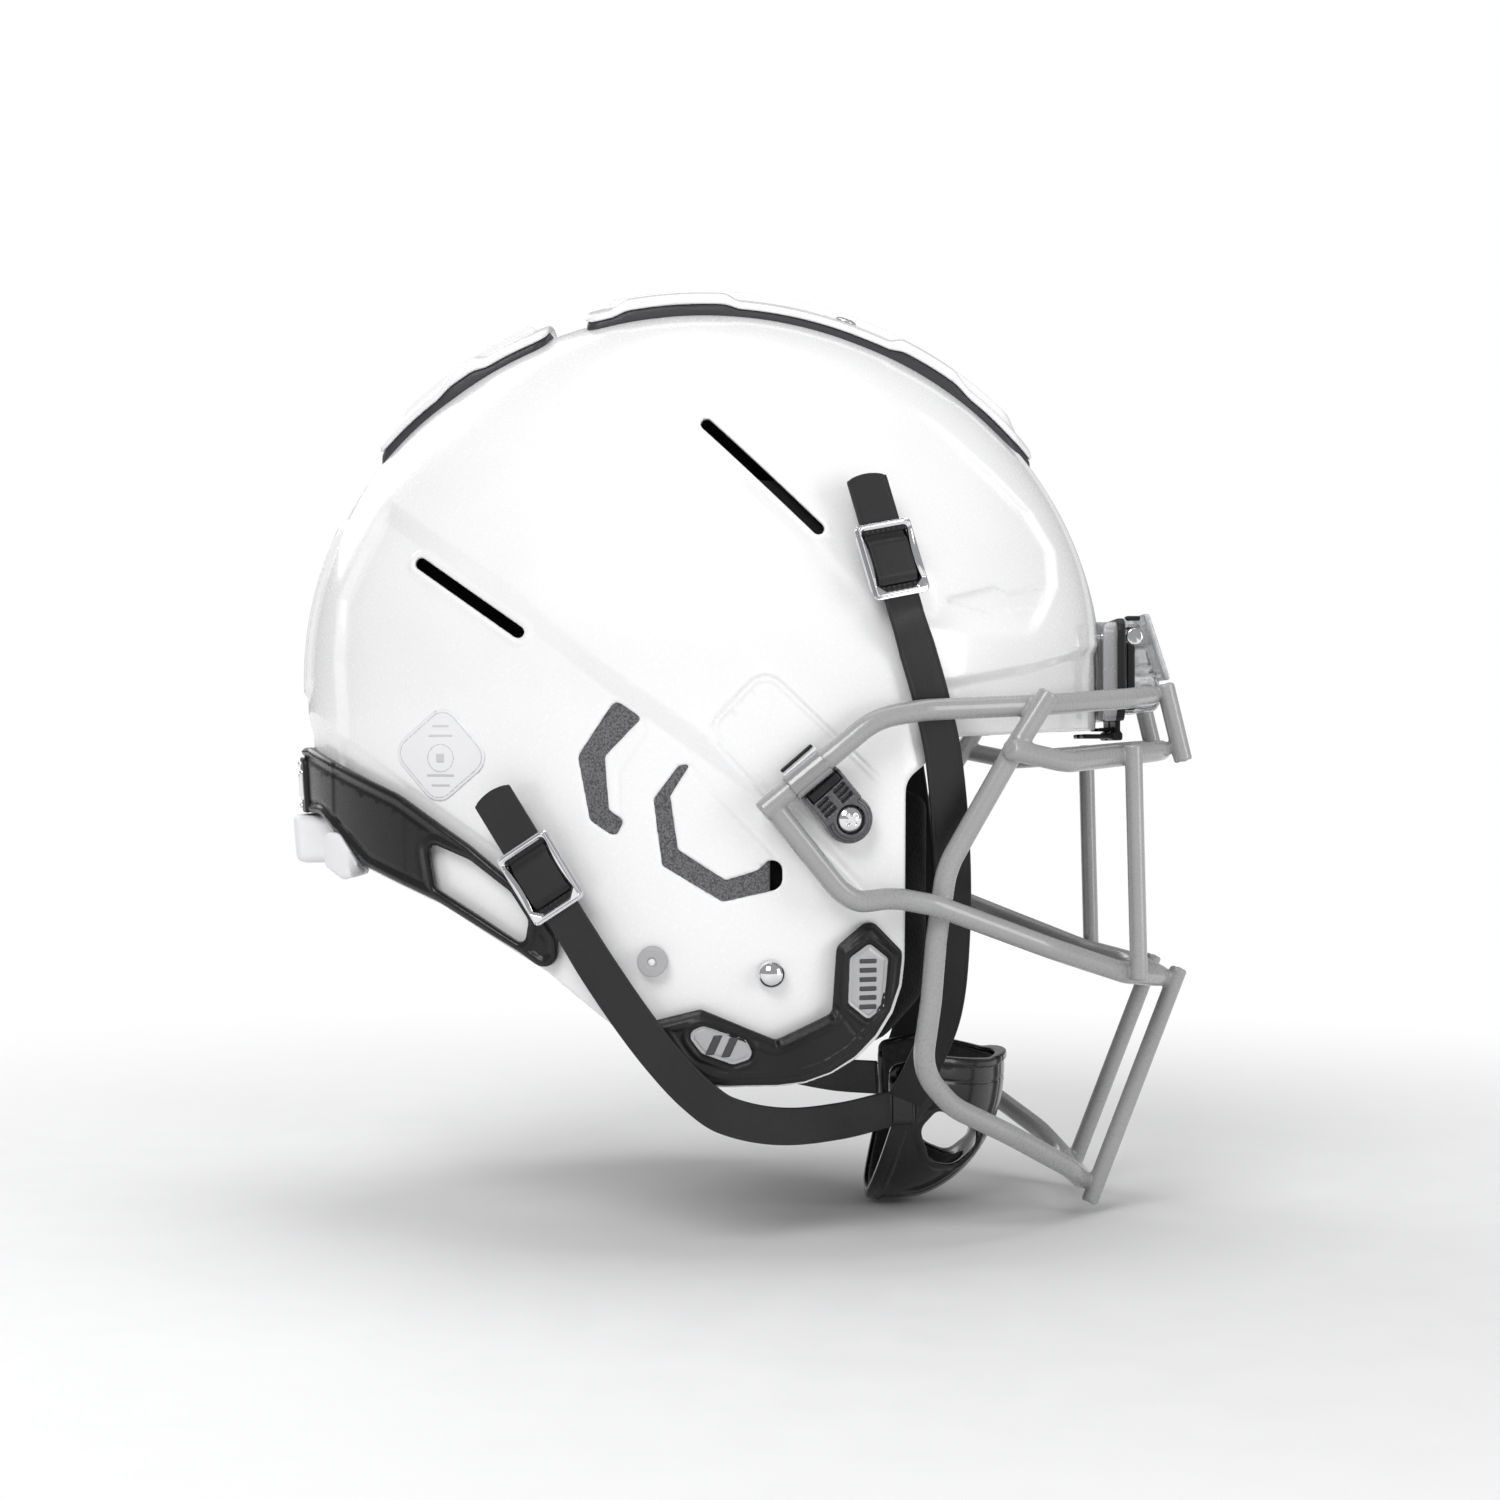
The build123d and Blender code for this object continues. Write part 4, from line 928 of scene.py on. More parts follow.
def gasket_field(x, y, z):
    plate = both(panel(y, z - 3.1, 30, 18.4, 5), np.abs(x - 150.65) - 0.85, 0.4)
    lip = both(panel(y, z - 3.1, 30, 18.4, 5), -panel(y, z - 3.1, 28.4, 16.8, 4), 0.2)
    plate = either(plate, both(lip, np.abs(x - 150.3) - 1.4, 0.3), 0.3)
    tongue = block(x - 150.8, np.abs(y) - 9.5, z + 18.5, (0.9, 7.5, 3.6), 0.4)
    prongs = block(x - 145.0, np.abs(y) - 9.5, z + 20.9, (6.6, 5.5, 0.8), 0.4)
    lower = block(x - 146.2, np.abs(y) - 9.5, z + 18.4, (5.0, 3.5, 0.6), 0.4)
    ribs = block(x - 150.6, np.abs(y) - 9.5, z + 20.9, (1.9, 7.5, 1.5), 0.5)
    lower = both(lower, -egg(x, y, z) + 0.4, 0.2)
    hook = either(either(tongue, prongs, 0.4), either(ribs, lower, 0.3), 0.4)
    for side in (-1, 1):
        plate = both(plate, 2.5 - length(y - side * FRONT_CLIP_Y, z - FRONT_SCREW_Z), 0.2)
    return either(plate, hook, 0.3)


CLIP_SIDE = rounded((151.7, -12.6, 1), (165.6, -12.6, 5), (164.7, -1.2, 3), (156.9, 21.5, 1.5),
                    (151.7, 21.5, 0.8))


def clip_block_field(x, y, z):
    edge = outline(x, z, CLIP_SIDE)
    off = length(x - PIVOT_X, z - PIVOT_Z)
    out = both(edge, np.abs(np.abs(y) - FRONT_CLIP_Y) - 6.4, 0.9)
    out = both(out, WIRE_R + 0.25 - off, 0.3)
    out = both(out, -both(np.abs(z - PIVOT_Z + 3.5) - 0.5, x - PIVOT_X, 0.1), 0.2)
    head = length(np.abs(y) - FRONT_CLIP_Y, z - FRONT_SCREW_Z)
    out = both(out, -both(head - 4.6, SCREW_SEAT_X - 3.6 - x, 0.1), 0.4)
    out = both(out, 2.6 - head, 0.2)
    groove = ring(z, 4.5, 1.0) + ring(z, 1.5, 1.0)
    return out + 0.5 * groove * ease((x - 156) / 2)


def insert_field(x, y, z):
    """The black insert of each front clip: an upright strap and its cap."""
    strap = block(x - 154.3, np.abs(y) - INSERT_Y, z - 3.5, (1.5, 3.1, 15), 0.5)
    off = length(z - FRONT_SCREW_Z, x - BARREL_X)
    cap = block(x - 155.2, np.abs(y) - INSERT_Y, z - 21.6, (2.6, 2.6, 0.9), 0.5)
    return either(both(strap, 3.3 - off, 0.2), cap, 0.4)


def barrel_field(x, y, z):
    """The bright barrel round each front clip's screw."""
    off = length(z - FRONT_SCREW_Z, x - BARREL_X)
    barrel = both(off - 3.1, np.abs(np.abs(y) - FRONT_CLIP_Y - 4.0) - 3.4, 0.5)
    head = length(np.abs(y) - FRONT_CLIP_Y, z - FRONT_SCREW_Z)
    return both(barrel, 4.4 - head, 0.2)


COVER_SIDE = rounded((158.4, 23.2, 0.5), (160.7, 23.2, 1.0), (168.5, -0.8, 0.8), (166.2, -0.8, 0.5))
COVER_CORE = rounded((152, 21.8, 0.6), (159.6, 21.8, 0.6), (166.2, 1.0, 0.6), (152, 1.0, 0.6))


def cover_field(x, y, z):
    edge = outline(x, z, COVER_SIDE)
    skin = both(edge, np.abs(y) - 27, 1.0)
    rim = ring(panel(y, z - 11.2, 27, 12, 3), -2.6, 1.2) * ease((x - (159.4 - 0.325 * (z - 23))) / 1.0)
    core = both(outline(x, z, COVER_CORE), np.abs(y) - 10.4, 0.8)
    return either(skin + 0.45 * rim, core, 0.5)


for name, field, low, high, step, look, nodes, slot in (
    ("bumper_base_moulding", base_field, (134, -30, -18), (151, 30, 23), 0.6, frosted_plastic,
     ["bumper_base"], "clear_plastic"),
    ("bumper_gasket", gasket_field, (136, -32, -24), (154, 32, 26), 0.5, satin_black, ["bumper_plate"],
     "black_plastic"),
    ("front_clip_blocks", clip_block_field, (150, -26, -14), (167, 26, 23), 0.5, clear_plastic,
     ["front_clips"], "clear_plastic"),
    ("front_clip_inserts", insert_field, (151, -28, -13), (161, 28, 24), 0.45, satin_black, (),
     "black_plastic"),
    ("front_clip_barrels", barrel_field, (151, -28, 10), (161, 28, 20), 0.4, chrome, (), "steel"),
    ("bumper_cover_moulding", cover_field, (150, -29, -3), (171, 29, 25), 0.55, cover_plastic,
     ["bumper_cover"], "clear_plastic"),
):
    piece(name, solid(field, low, high, step, 0.003), look, "shell", nodes, slot)
front_screw = screw(4.1, 1.2, 1.1, 2, 2.3, 14.0)
turned_x = np.array(((0, 0, -1), (0, 1, 0), (1, 0, 0)), float)
head_base_x = SCREW_SEAT_X - 3.4
front_seats = [(np.array((head_base_x, side * FRONT_CLIP_Y, FRONT_SCREW_Z)), turned_x) for side in (-1, 1)]
piece("front_clip_screws", joined([placed(front_screw, s) for s in front_seats]), chrome, "shell",
      ["front_screws"], "steel")

# ---- face mask
UPPER_ROUTE = [
    (21, -123.8, -46), (46, -121.8, -25.5), (58, -119.5, -15.5), (74, -115, -12.8),
    (112, -97, -11), (148, -60, -8), (PIVOT_X, -38, PIVOT_Z),
]
BROW_ROUTE = [(102.3, -109, -25.6), (123, -91.5, -30), (146, -59, -28), (165, -34, -26)]
MIDDLE_ROUTE = [
    (24.5, -122.5, -44.5), (46, -119, -71.5), (52, -117.5, -75.5), (64, -114, -74.2), (78, -109.4, -77),
    (118, -90, -92.5), (147.5, -59, -103.5), (164.6, -32, -107),
]
CAGE_ROUTE = [
    (116.2, -101.8, -7), (103.5, -103, -27.2), (82, -103.4, -65), (78.7, -101.5, -89), (77.2, -99, -109.4),
    (74.2, -95.5, -133), (85, -88, -146), (105.4, -76, -157), (129.5, -46, -173), (137, -26, -180.7),
]
BROW_UPRIGHT = [(165.6, -31, -2.4), (172.2, -31, -29.8)]
EYE_UPRIGHT = [(149.6, -63.5, -24.2), (151.6, -63.5, -105.6)]
CHIN_UPRIGHT = [(171, -29, -104.2), (138.8, -29, -188.0)]
LARGEST_BEND = 30.0


def bent(points):
    """The line of a wire: straight runs with an arc at each inner point."""
    points = [np.array(p, float) for p in points]
    line = [points[0]]
    for before, here, after in zip(points, points[1:], points[2:]):
        back, on = before - here, after - here
        long_back, long_on = np.linalg.norm(back), np.linalg.norm(on)
        back, on = back / long_back, on / long_on
        turn = math.pi - math.acos(np.clip(back @ on, -1, 1))
        radius = min(0.45 * min(long_back, long_on) / math.tan(turn / 2), LARGEST_BEND)
        cut = radius * math.tan(turn / 2)
        middle = here + (back + on) / np.linalg.norm(back + on) * radius / math.cos(turn / 2)
        start, end = here + back * cut - middle, here + on * cut - middle
        for t in np.linspace(0, 1, 9):
            spoke = (np.sin((1 - t) * turn) * start + np.sin(t * turn) * end) / math.sin(turn)
            line.append(middle + spoke)
    line.append(points[-1])
    return line


def both_sides(points):
    return points + [(x, -y, z) for x, y, z in reversed(points)]


def wires(bars, low, high, step):
    """The right half of a grid of welded wires, given as (line, radius), then doubled about y = 0."""
    axes = axes_of(low, high, step)
    sizes = [len(a) for a in axes]
    total = np.full(sizes, 3 * step, np.float32)
    for line, radius in bars:
        one = np.full(sizes, 3 * step, np.float32)
        first, last = line[0] - line[1], line[-1] - line[-2]
        ends = [(line[0], first / np.linalg.norm(first)), (line[-1], last / np.linalg.norm(last))]
        for p, q in zip(line, line[1:]):
            count = max(1, int(np.linalg.norm(q - p) / 14))
            for k in range(count):
                a, b = p + (q - p) * k / count, p + (q - p) * (k + 1) / count
                near = radius + 3 * step
                spans = []
                for i, axis in enumerate(axes):
                    start = np.searchsorted(axis, min(a[i], b[i]) - near)
                    stop = np.searchsorted(axis, max(a[i], b[i]) + near)
                    spans.append(slice(start, stop))
                if any(s.start >= s.stop for s in spans):
                    continue
                x, y, z = (axes[0][spans[0], None, None], axes[1][None, spans[1], None],
                           axes[2][None, None, spans[2]])
                here = rod(x, y, z, a, b, radius)
                spot = tuple(spans)
                one[spot] = np.minimum(one[spot], here)
        for end, out in ends:
            spot = tuple(
                slice(np.searchsorted(axis, end[i] - radius - 2),
                      np.searchsorted(axis, end[i] + radius + 2))
                for i, axis in enumerate(axes)
            )
            if one[spot].size:
                x, y, z = (axes[0][spot[0], None, None], axes[1][None, spot[1], None],
                           axes[2][None, None, spot[2]])
                along = (x - end[0]) * out[0] + (y - end[1]) * out[1] + (z - end[2]) * out[2]
                off = np.sqrt((x - end[0] - out[0] * along) ** 2 + (y - end[1] - out[1] * along) ** 2
                              + (z - end[2] - out[2] * along) ** 2) - radius
                capped = both(off, along, 1.6)
                plain = one[spot]
                ended = np.minimum(np.where(along > 0, 3 * step, plain), capped)
                one[spot] = np.where(along > -2.5, ended, plain)
        total = either(total, one, 0.9)
    return np.concatenate([total, total[:, -2::-1]], axis=1)


mask_step = 0.7
half_width = mask_step * round(129 / mask_step)
mask_low, mask_high = (14.0, -half_width, -194.0), (178.0, mask_step * 0.1, 3.0)
bars = [(bent(both_sides(r)), WIRE_R) for r in (UPPER_ROUTE, BROW_ROUTE, MIDDLE_ROUTE, CAGE_ROUTE)]
bars += [([np.array(p, float) for p in r], size) for r, size in (
    (BROW_UPRIGHT, BROW_R), (EYE_UPRIGHT, UPRIGHT_R), (CHIN_UPRIGHT, UPRIGHT_R))]
mask = meshed(wires(bars, mask_low, mask_high, mask_step), mask_low, mask_step, 0.0015)
piece("mask_wires", mask, coated_wire, "face_mask",
      ["upper_bar", "brow_bar", "middle_bar", "cage_bar", "brow_uprights", "eye_uprights", "chin_uprights"],
      "coated_wire")

# ---- side clips
CLIP_RUN = (CLIP_WIRE[0] - CLIP_SCREW[0], CLIP_WIRE[1] - CLIP_SCREW[1])
clip_seat = seat(CLIP_SCREW, -1, 1.0, CLIP_RUN)
wire_start = np.array(UPPER_ROUTE[0], float)
wire_run = np.array(UPPER_ROUTE[1], float) - wire_start
wire_run = unit(wire_run)
wire_middle = wire_start + wire_run * 19.0


def local(x, y, z, spot):
    """Coordinates along the axes of a seat."""
    origin, axes = spot
    return [(x - origin[0]) * a[0] + (y - origin[1]) * a[1] + (z - origin[2]) * a[2] for a in axes]


def wire_off(x, y, z):
    """Distance along the held wire from the clip's middle, and distance off it."""
    dx, dy, dz = x - wire_middle[0], y - wire_middle[1], z - wire_middle[2]
    along = dx * wire_run[0] + dy * wire_run[1] + dz * wire_run[2]
    return along, np.sqrt(np.maximum(dx * dx + dy * dy + dz * dz - along**2, 1e-6))


def clip_body_field(x, y, z):
    u, v, w = local(x, y, z, clip_seat)
    off = length(u, v)
    edge = either(off - 8, panel(u - 9.4, v, 9.4, 7.6, 0.8), 0.2)
    top = 5.6 - (0.75 * ease((off - 5.9) / 0.3) + 0.75 * ease((off - 6.9) / 0.3)) * ease((3.4 - u) / 0.3)
    for u0 in (6.6, 8.6, 10.6):
        for v0 in (-3.6, 3.6):
            top = top - 2.0 * ease((0.25 - panel(u - u0, v - v0, 0.62, 2.2, 0.2)) / 0.3)
    top = top - 1.8 * ease((0.25 - panel(u - 15.2, v, 2.9, 6.4, 0.3)) / 0.3)
    out = both(both(edge, w - top, 0.5), -w, 0.2)
    out = both(out, -both(off - 4.9, 3.2 - w, 0.1), 0.25)
    out = both(out, 2.7 - off, 0.2)
    out = both(out, 5.3 - wire_off(x, y, z)[1], 0.2)
    return both(out, 0.75 - egg(x, y, z), 0.2)


def clip_insert_field(x, y, z):
    u, v, w = local(x, y, z, clip_seat)
    out = block(u - 15.2, v, w - 4.6, (2.7, 6.2, 0.95), 0.3)
    out = np.minimum(out, block(u - 12.9, v - 2.6, w - 5.5, (0.35, 1.8, 0.3), 0.15))
    out = np.minimum(out, block(u - 12.9, v + 3.4, w - 5.5, (0.35, 1.3, 0.3), 0.15))
    out = both(out, 5.4 - wire_off(x, y, z)[1], 0.2)
    # painted shade: a thin black strip on the shell just beyond the bar stands for the shade in the slit
    # there
    slit_shade_strip = both(both(np.abs(u - 26.0) - 0.6, np.abs(v) - 6.6, 0.3), egg(x, y, z) - 2.0, 0.2)
    return both(np.minimum(out, slit_shade_strip), 0.8 - egg(x, y, z), 0.1)


def clip_wrap_field(x, y, z):
    u, _, w = local(x, y, z, clip_seat)
    along, off = wire_off(x, y, z)
    tube = both(both(off - 4.5, WIRE_R + 0.05 - off, 0.1), np.abs(along) - 7.2, 0.5)
    tube = tube + 0.3 * ring(u, 18.9, 0.7) * ease((w - 5) / 1)
    return both(tube, 0.75 - egg(x, y, z), 0.1)


def clip_bar_field(x, y, z):
    u, v, _ = local(x, y, z, clip_seat)
    off = wire_off(x, y, z)[1]
    bar = both(both(np.abs(u - 24.0) - 1.0, np.abs(v) - 7.0, 0.4), np.abs(egg(x, y, z) - 2.1) - 1.3, 0.3)
    return both(bar, WIRE_R + 0.1 - off, 0.1)


clip_body, clip_insert, clip_wrap, clip_bar = (
    solid(field, (18.0, -131.0, -60.0), (60.0, -106.0, -18.0), 0.34, 0.002)
    for field in (clip_body_field, clip_insert_field, clip_wrap_field, clip_bar_field)
)
clip_screw = placed(screw(4.5, 1.1, 2.2, 2, 2.35, 3.0), seat(CLIP_SCREW, -1, 4.5, CLIP_RUN))
for side, turned in SIDES:
    piece(f"{side}_side_clip_body", turned(clip_body), smoked_plastic, "face_mask", [f"{side}_side_clip"],
          "smoked_plastic")
    piece(f"{side}_side_clip_insert", turned(clip_insert), satin_black, "face_mask", slot="smoked_plastic")
    piece(f"{side}_clip_screw_head", turned(clip_screw), chrome, f"{side}_clip_screw",
          [f"{side}_clip_screw"], "chrome")
piece("side_clip_wraps", pair(clip_wrap), wrap_plastic, "face_mask", ["clip_wraps"], "clear_plastic")
piece("side_clip_bars", pair(clip_bar), white_rubber, "face_mask", slot="clear_plastic")


# ---- buckles
SNAP_BORE = 3.65
TAIL_TIP_R = 13.8


def frame_field(u, v, w):
    outer = both(panel(u, v, 12.9, 9.1, 1.4), (u + np.abs(v) - 20.9) * 0.7071, 0.3)
    bowed = np.abs(v) + 0.8 * ramp(1.0 - (u / 8.5) ** 2)
    window = both(panel(u + 0.1, bowed, 10.5, 7.3, 1.2), (u + np.abs(v) - 15.2) * 0.7071, 0.3)
    top = 9.5 - 1.35 * ease((0.95 + outer) / 0.3) - 0.9 * ease((1.1 - window) / 1.1)
    top = top - 0.5 * ring(outer, -0.45, 0.4)
    out = both(both(outer, -window, 0.3), both(w - top, 7.4 - w, 0.2), 0.35)
    side = both(np.abs(np.abs(v) - 7.7) - 0.7, np.abs(u) - 9.5, 0.2)
    return either(out, both(side, np.abs(w - 6.2) - 1.4, 0.2), 0.3)


def base_plate_field(u, v, w):
    off = length(u, v)
    plate = both(panel(u, v, 11.2, 8.1, 3), np.abs(w - 5.0) - 0.6, 0.4)
    socket = both(both(off - 5.8, SNAP_BORE - off, 0.2), np.abs(w - 3.1) - 1.4, 0.3)
    out = either(plate, socket, 0.3)
    for u0 in (9.7, -9.9):
        teeth = 0.55 * np.abs(((v / 1.7) % 1.0) - 0.5) * 2
        bar = both(block(u - u0, v, w - 8.0, (0.8, 6.9, 0.55), 0.2), w - 8.0 - teeth, 0.1)
        out = np.minimum(out, bar)
    return out


def tail(length):
    """A strap end with a round tip, bowed over the buckle's bars."""
    def field(u, v, w):
        rise = 6.5 + 1.35 * ease((8.3 - np.abs(u)) / 3.0)
        arc = TAIL_TIP_R - length
        tip = np.where(u < arc, np.sqrt((u - arc) ** 2 + v * v) - TAIL_TIP_R, -4.0)
        out = both(np.abs(w - rise) - STRAP_THICK / 2, np.abs(v) - STRAP_WIDTH / 2, 0.45)
        out = both(out, np.maximum(tip, u - 8.4), 0.45)
        return out + 0.14 * ring(np.abs(v), 5.6, 0.5)

    return solid(field, (-length - 0.8, -7, 5.0), (9.4, 7, 9.4), 0.3, 0.001)


def widened(shape, wider):
    """A shape stretched along v."""
    points, triangles, quads, normals = shape
    normals = normals / np.array((1.0, wider, 1.0))
    normals = normals / np.linalg.norm(normals, axis=1)[:, None]
    return [points * np.array((1.0, wider, 1.0)), triangles, quads, normals]


frame_shape = solid(frame_field, (-13.6, -9.8, 4.2), (13.6, 9.8, 10.2), 0.2, 0.0)
base_shape = solid(base_plate_field, (-11.8, -8.8, 1.2), (11.8, 8.8, 9.2), 0.26, 0.001)
for where, place, run, wider, tail_length in (
    ("upper", UPPER_SNAP, UPPER_RUN, 1.15, 30.2), ("lower", LOWER_SNAP, LOWER_RUN, 1.12, 33.0),
):
    tail_shape = tail(tail_length)
    at = seat(place, -1, 0.0, run)
    for side, turned in SIDES:
        body = f"{side}_{where}_buckle"
        piece(f"{body}_frame", turned(placed(widened(frame_shape, wider), at)), chrome, body, [body],
              "buckle_chrome")
        piece(f"{body}_socket", turned(placed(widened(base_shape, wider), at)), satin_black, body,
              [f"{body}_base"], "black_plastic")
        piece(f"{side}_{where}_strap_tab", turned(placed(widened(tail_shape, wider), at)), strap_black,
              body, [f"{side}_{where}_strap_tail"], "strap_black")

# ---- straps
STRAP_LIFT = 5.7
STATION_STEPS = 10                                          # points from one station to the next


def strap_start(place, direction, beyond):
    origin, axes = seat(place, -1, STRAP_LIFT + STRAP_THICK / 2, direction)
    return tuple(origin + axes[0] * beyond), tuple(axes[2])


UPPER_STRAP = [
    strap_start(UPPER_SNAP, UPPER_RUN, 11.8),
    strap_start(UPPER_SNAP, UPPER_RUN, 19.5),
    ((72, -109, 7), (0.28, -0.96, 0)),
    ((76.5, -107, -8.4), (0.28, -0.96, 0)),
    ((81, -103, -28), (0.28, -0.96, -0.1)),
    ((84.5, -92.5, -60), (0.15, -0.96, -0.2)),
    ((85.5, -79, -90), (0.1, -0.93, -0.3)),
    ((84, -63, -117), (0.1, -0.9, -0.4)),
    ((77.5, -48.2, -138), (0.1, -0.9, -0.3)),
    ((72, -42.9, -149.5), (0.1, -0.95, -0.1)),
]
LOWER_STRAP = [
    strap_start(LOWER_SNAP, LOWER_RUN, 11.8),
    strap_start(LOWER_SNAP, LOWER_RUN, 19.5),
    ((-32, -117.5, -98), (-0.1, -1, 0)),
    ((-21, -117.8, -114), (-0.05, -1, 0)),
    ((-11, -117.4, -127), (-0.05, -1, -0.05)),
    ((-1, -114.6, -138), (0.1, -1, -0.1)),
    ((9, -108.6, -146), (0.2, -0.97, -0.1)),
    ((27, -92, -152), (0.5, -0.85, -0.1)),
    ((48, -66.5, -153.8), (0.6, -0.78, 0)),
    ((66, -45.2, -152.6), (0.5, -0.86, 0)),
]


def smooth_line(points):
    """A curve through points, with even speed at each."""
    points = np.array(points, float)
    padded = np.vstack([2 * points[0] - points[1], points, 2 * points[-1] - points[-2]])
    out = []
    for a, b, c, d in zip(padded, padded[1:], padded[2:], padded[3:]):
        long = np.linalg.norm(c - b)
        slope_b = (c - a) / (np.linalg.norm(b - a) + long + 1e-9) * long
        slope_c = (d - b) / (np.linalg.norm(d - c) + long + 1e-9) * long
        for t in np.arange(STATION_STEPS) / STATION_STEPS:
            out.append((2 * t**3 - 3 * t**2 + 1) * b + (t**3 - 2 * t**2 + t) * slope_b
                       + (3 * t**2 - 2 * t**3) * c + (t**3 - t**2) * slope_c)
    out.append(points[-1])
    return np.array(out)


def strap_profile():
    """A strap's section as (across, out) points: round edges and a pressed line along each."""
    half, deep, r = STRAP_WIDTH / 2, STRAP_THICK / 2, 0.6
    top = []
    for turn in np.linspace(0, math.pi / 2, 5):
        top.append((half - r + r * math.cos(turn), deep - r + r * math.sin(turn)))
    top += [(half - 1.1, deep), (half - 1.35, deep - 0.16), (half - 1.6, deep), (1.5, deep), (-1.5, deep)]
    top += [(-half + 1.6, deep), (-half + 1.35, deep - 0.16), (-half + 1.1, deep)]
    for turn in np.linspace(math.pi / 2, math.pi, 5):
        top.append((-half + r + r * math.cos(turn), deep - r + r * math.sin(turn)))
    return np.array(top + [(-a, -b) for a, b in top])


def ribbon(stations, first, last):
    """The stretch of a strap between two of its stations, counted from 0."""
    spots = smooth_line([p for p, _ in stations])
    outs = smooth_line([o for _, o in stations])
    runs = np.gradient(spots, axis=0)
    runs /= np.linalg.norm(runs, axis=1)[:, None]
    outs -= runs * np.sum(runs * outs, axis=1)[:, None]
    outs /= np.linalg.norm(outs, axis=1)[:, None]
    acrosses = np.cross(runs, outs)
    profile = strap_profile()
    slope = np.roll(profile, -1, 0) - np.roll(profile, 1, 0)
    facing = np.stack([slope[:, 1], -slope[:, 0]], 1)
    facing /= np.linalg.norm(facing, axis=1)[:, None]
    chosen = range(first * STATION_STEPS, last * STATION_STEPS + 1)
    count = len(profile)
    points, normals, quads, triangles = [], [], [], []
    for i in chosen:
        points.append(spots[i] + np.outer(profile[:, 0], acrosses[i]) + np.outer(profile[:, 1], outs[i]))
        normals.append(np.outer(facing[:, 0], acrosses[i]) + np.outer(facing[:, 1], outs[i]))
    for row in range(len(chosen) - 1):
        for k in range(count):
            a, b = row * count + k, row * count + (k + 1) % count
            quads.append((a, b, b + count, a + count))
    points, normals = np.concatenate(points), np.concatenate(normals)
    ends = []
    if first == 0:
        ends.append((0, -1))
    if last == len(stations) - 1:
        ends.append((len(chosen) - 1, 1))
    for row, way in ends:
        start = len(points)
        rim = points[row * count:(row + 1) * count]
        points = np.vstack([points, rim, rim.mean(0)])
        normals = np.vstack([normals, np.tile(runs[chosen[row]] * way, (count + 1, 1))])
        for k in range(count):
            a, b = start + k, start + (k + 1) % count
            triangles.append((b, a, start + count) if way < 0 else (a, b, start + count))
    return [points, np.array(triangles, int).reshape(-1, 3), np.array(quads, int), normals]


def on_side(p, side):
    return Vector((p[0], -p[1] if side == "left" else p[1], p[2])) * MM


for where, stations, still in (("upper", UPPER_STRAP, 3), ("lower", LOWER_STRAP, 4)):
    near, far_end = ribbon(stations, 0, 5), ribbon(stations, 5, len(stations) - 1)
    for side, turned in SIDES:
        top = piece(f"{side}_{where}_strap_run", turned(near), strap_black, None, [f"{side}_{where}_strap"],
                    "strap_black")
        on_side(stations[1][0], side)
        on_side(stations[still][0], side)
        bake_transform(top)
        end = piece(f"{side}_{where}_strap_cup_end", turned(far_end), strap_black, None, (), "strap_black")
        on_side(stations[6][0], side)
        on_side(stations[-2][0], side)
        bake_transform(end)

# ---- chin cup
CUP_CENTRE, CUP_RADII, CUP_WALL, LINER_WALL = (68.0, 0.0, -142.0), (42.0, 41.0, 49.0), 2.6, 3.0
CUP_VIEW = rounded((57, -FAR, 0), (59.5, -186, 0), (67.5, -158, 0), (66, -138, 4), (82, -134.5, 6),
                   (104, -137.5, 3), (120, -134, 0), (120, -FAR, 0))
CUP_REAR = ((57.5, -200), (59.5, -186), (67.5, -158), (66, -138))
CUP_TOP = ((66, -138), (82, -134.5), (104, -137.5), (120, -134))
CUP_HOLE = rounded((84, -154, 3), (77.5, -161, 5), (82, -174, 6), (91, -176.5, 6), (99, -170, 6),
                   (99, -163, 5))


def bowl(x, y, z):
    """Height over the chin cup's form."""
    x, y, z = (p - c for p, c in zip((x, y, z), CUP_CENTRE))
    near = np.sqrt(sum((p / r) ** 2 for p, r in zip((x, y, z), CUP_RADII))) + 1e-6
    slope = np.sqrt(sum((p / r**2) ** 2 for p, r in zip((x, y, z), CUP_RADII))) + 1e-9
    return near * (near - 1.0) / slope


def cup_field(x, y, z):
    height = bowl(x, y, z)
    rear, top_edge = route(x, z, CUP_REAR), route(x, z, CUP_TOP)
    hole = outline(x, z, CUP_HOLE)
    top = 0.9 * ease((6.2 - rear) / 0.7) - 0.35 * ring(rear, 4.0, 0.7)
    top = np.maximum(top, 1.0 * ease((3.2 - top_edge) / 0.6)) - 0.35 * ring(top_edge, 8.6, 0.8)
    keel = 0.9 * ease((18.5 - np.abs(y)) / 1.2) - 0.4 * ring(np.abs(y), 15, 0.7)
    top = top + keel * ease((x - 72) / 8)
    top = top + 0.6 * ease((3.0 - hole) / 0.8)
    out = both(both(height - top, -CUP_WALL - height, 0.8), outline(x, z, CUP_VIEW, 14), 0.9)
    lug = block(x - 71.0, np.abs(y) - 40.4, z + 150.5, (4.5, 3.0, 8.0), 1.4)
    return either(both(out, -hole, 1.6), lug, 1.5)


def cup_liner_field(x, y, z):
    height = bowl(x, y, z)
    out = both(both(height + CUP_WALL + 0.1, -CUP_WALL - LINER_WALL - height, 1.2),
               outline(x, z, CUP_VIEW, 14) + 1.2, 1.6)
    return both(out, 0.8 - outline(x, z, CUP_HOLE), 1.4)


piece("chin_cup_moulding", solid(cup_field, (54, -45, -194), (114, 45, -131), 0.6, 0.002), cup_black,
      "chin_cup", ["chin_cup"], "cup_black")
piece("chin_cup_foam", solid(cup_liner_field, (54, -42, -192), (112, 42, -132), 0.75, 0.003), liner_black,
      "chin_cup", ["chin_cup_liner"], "liner_black", 0.8)

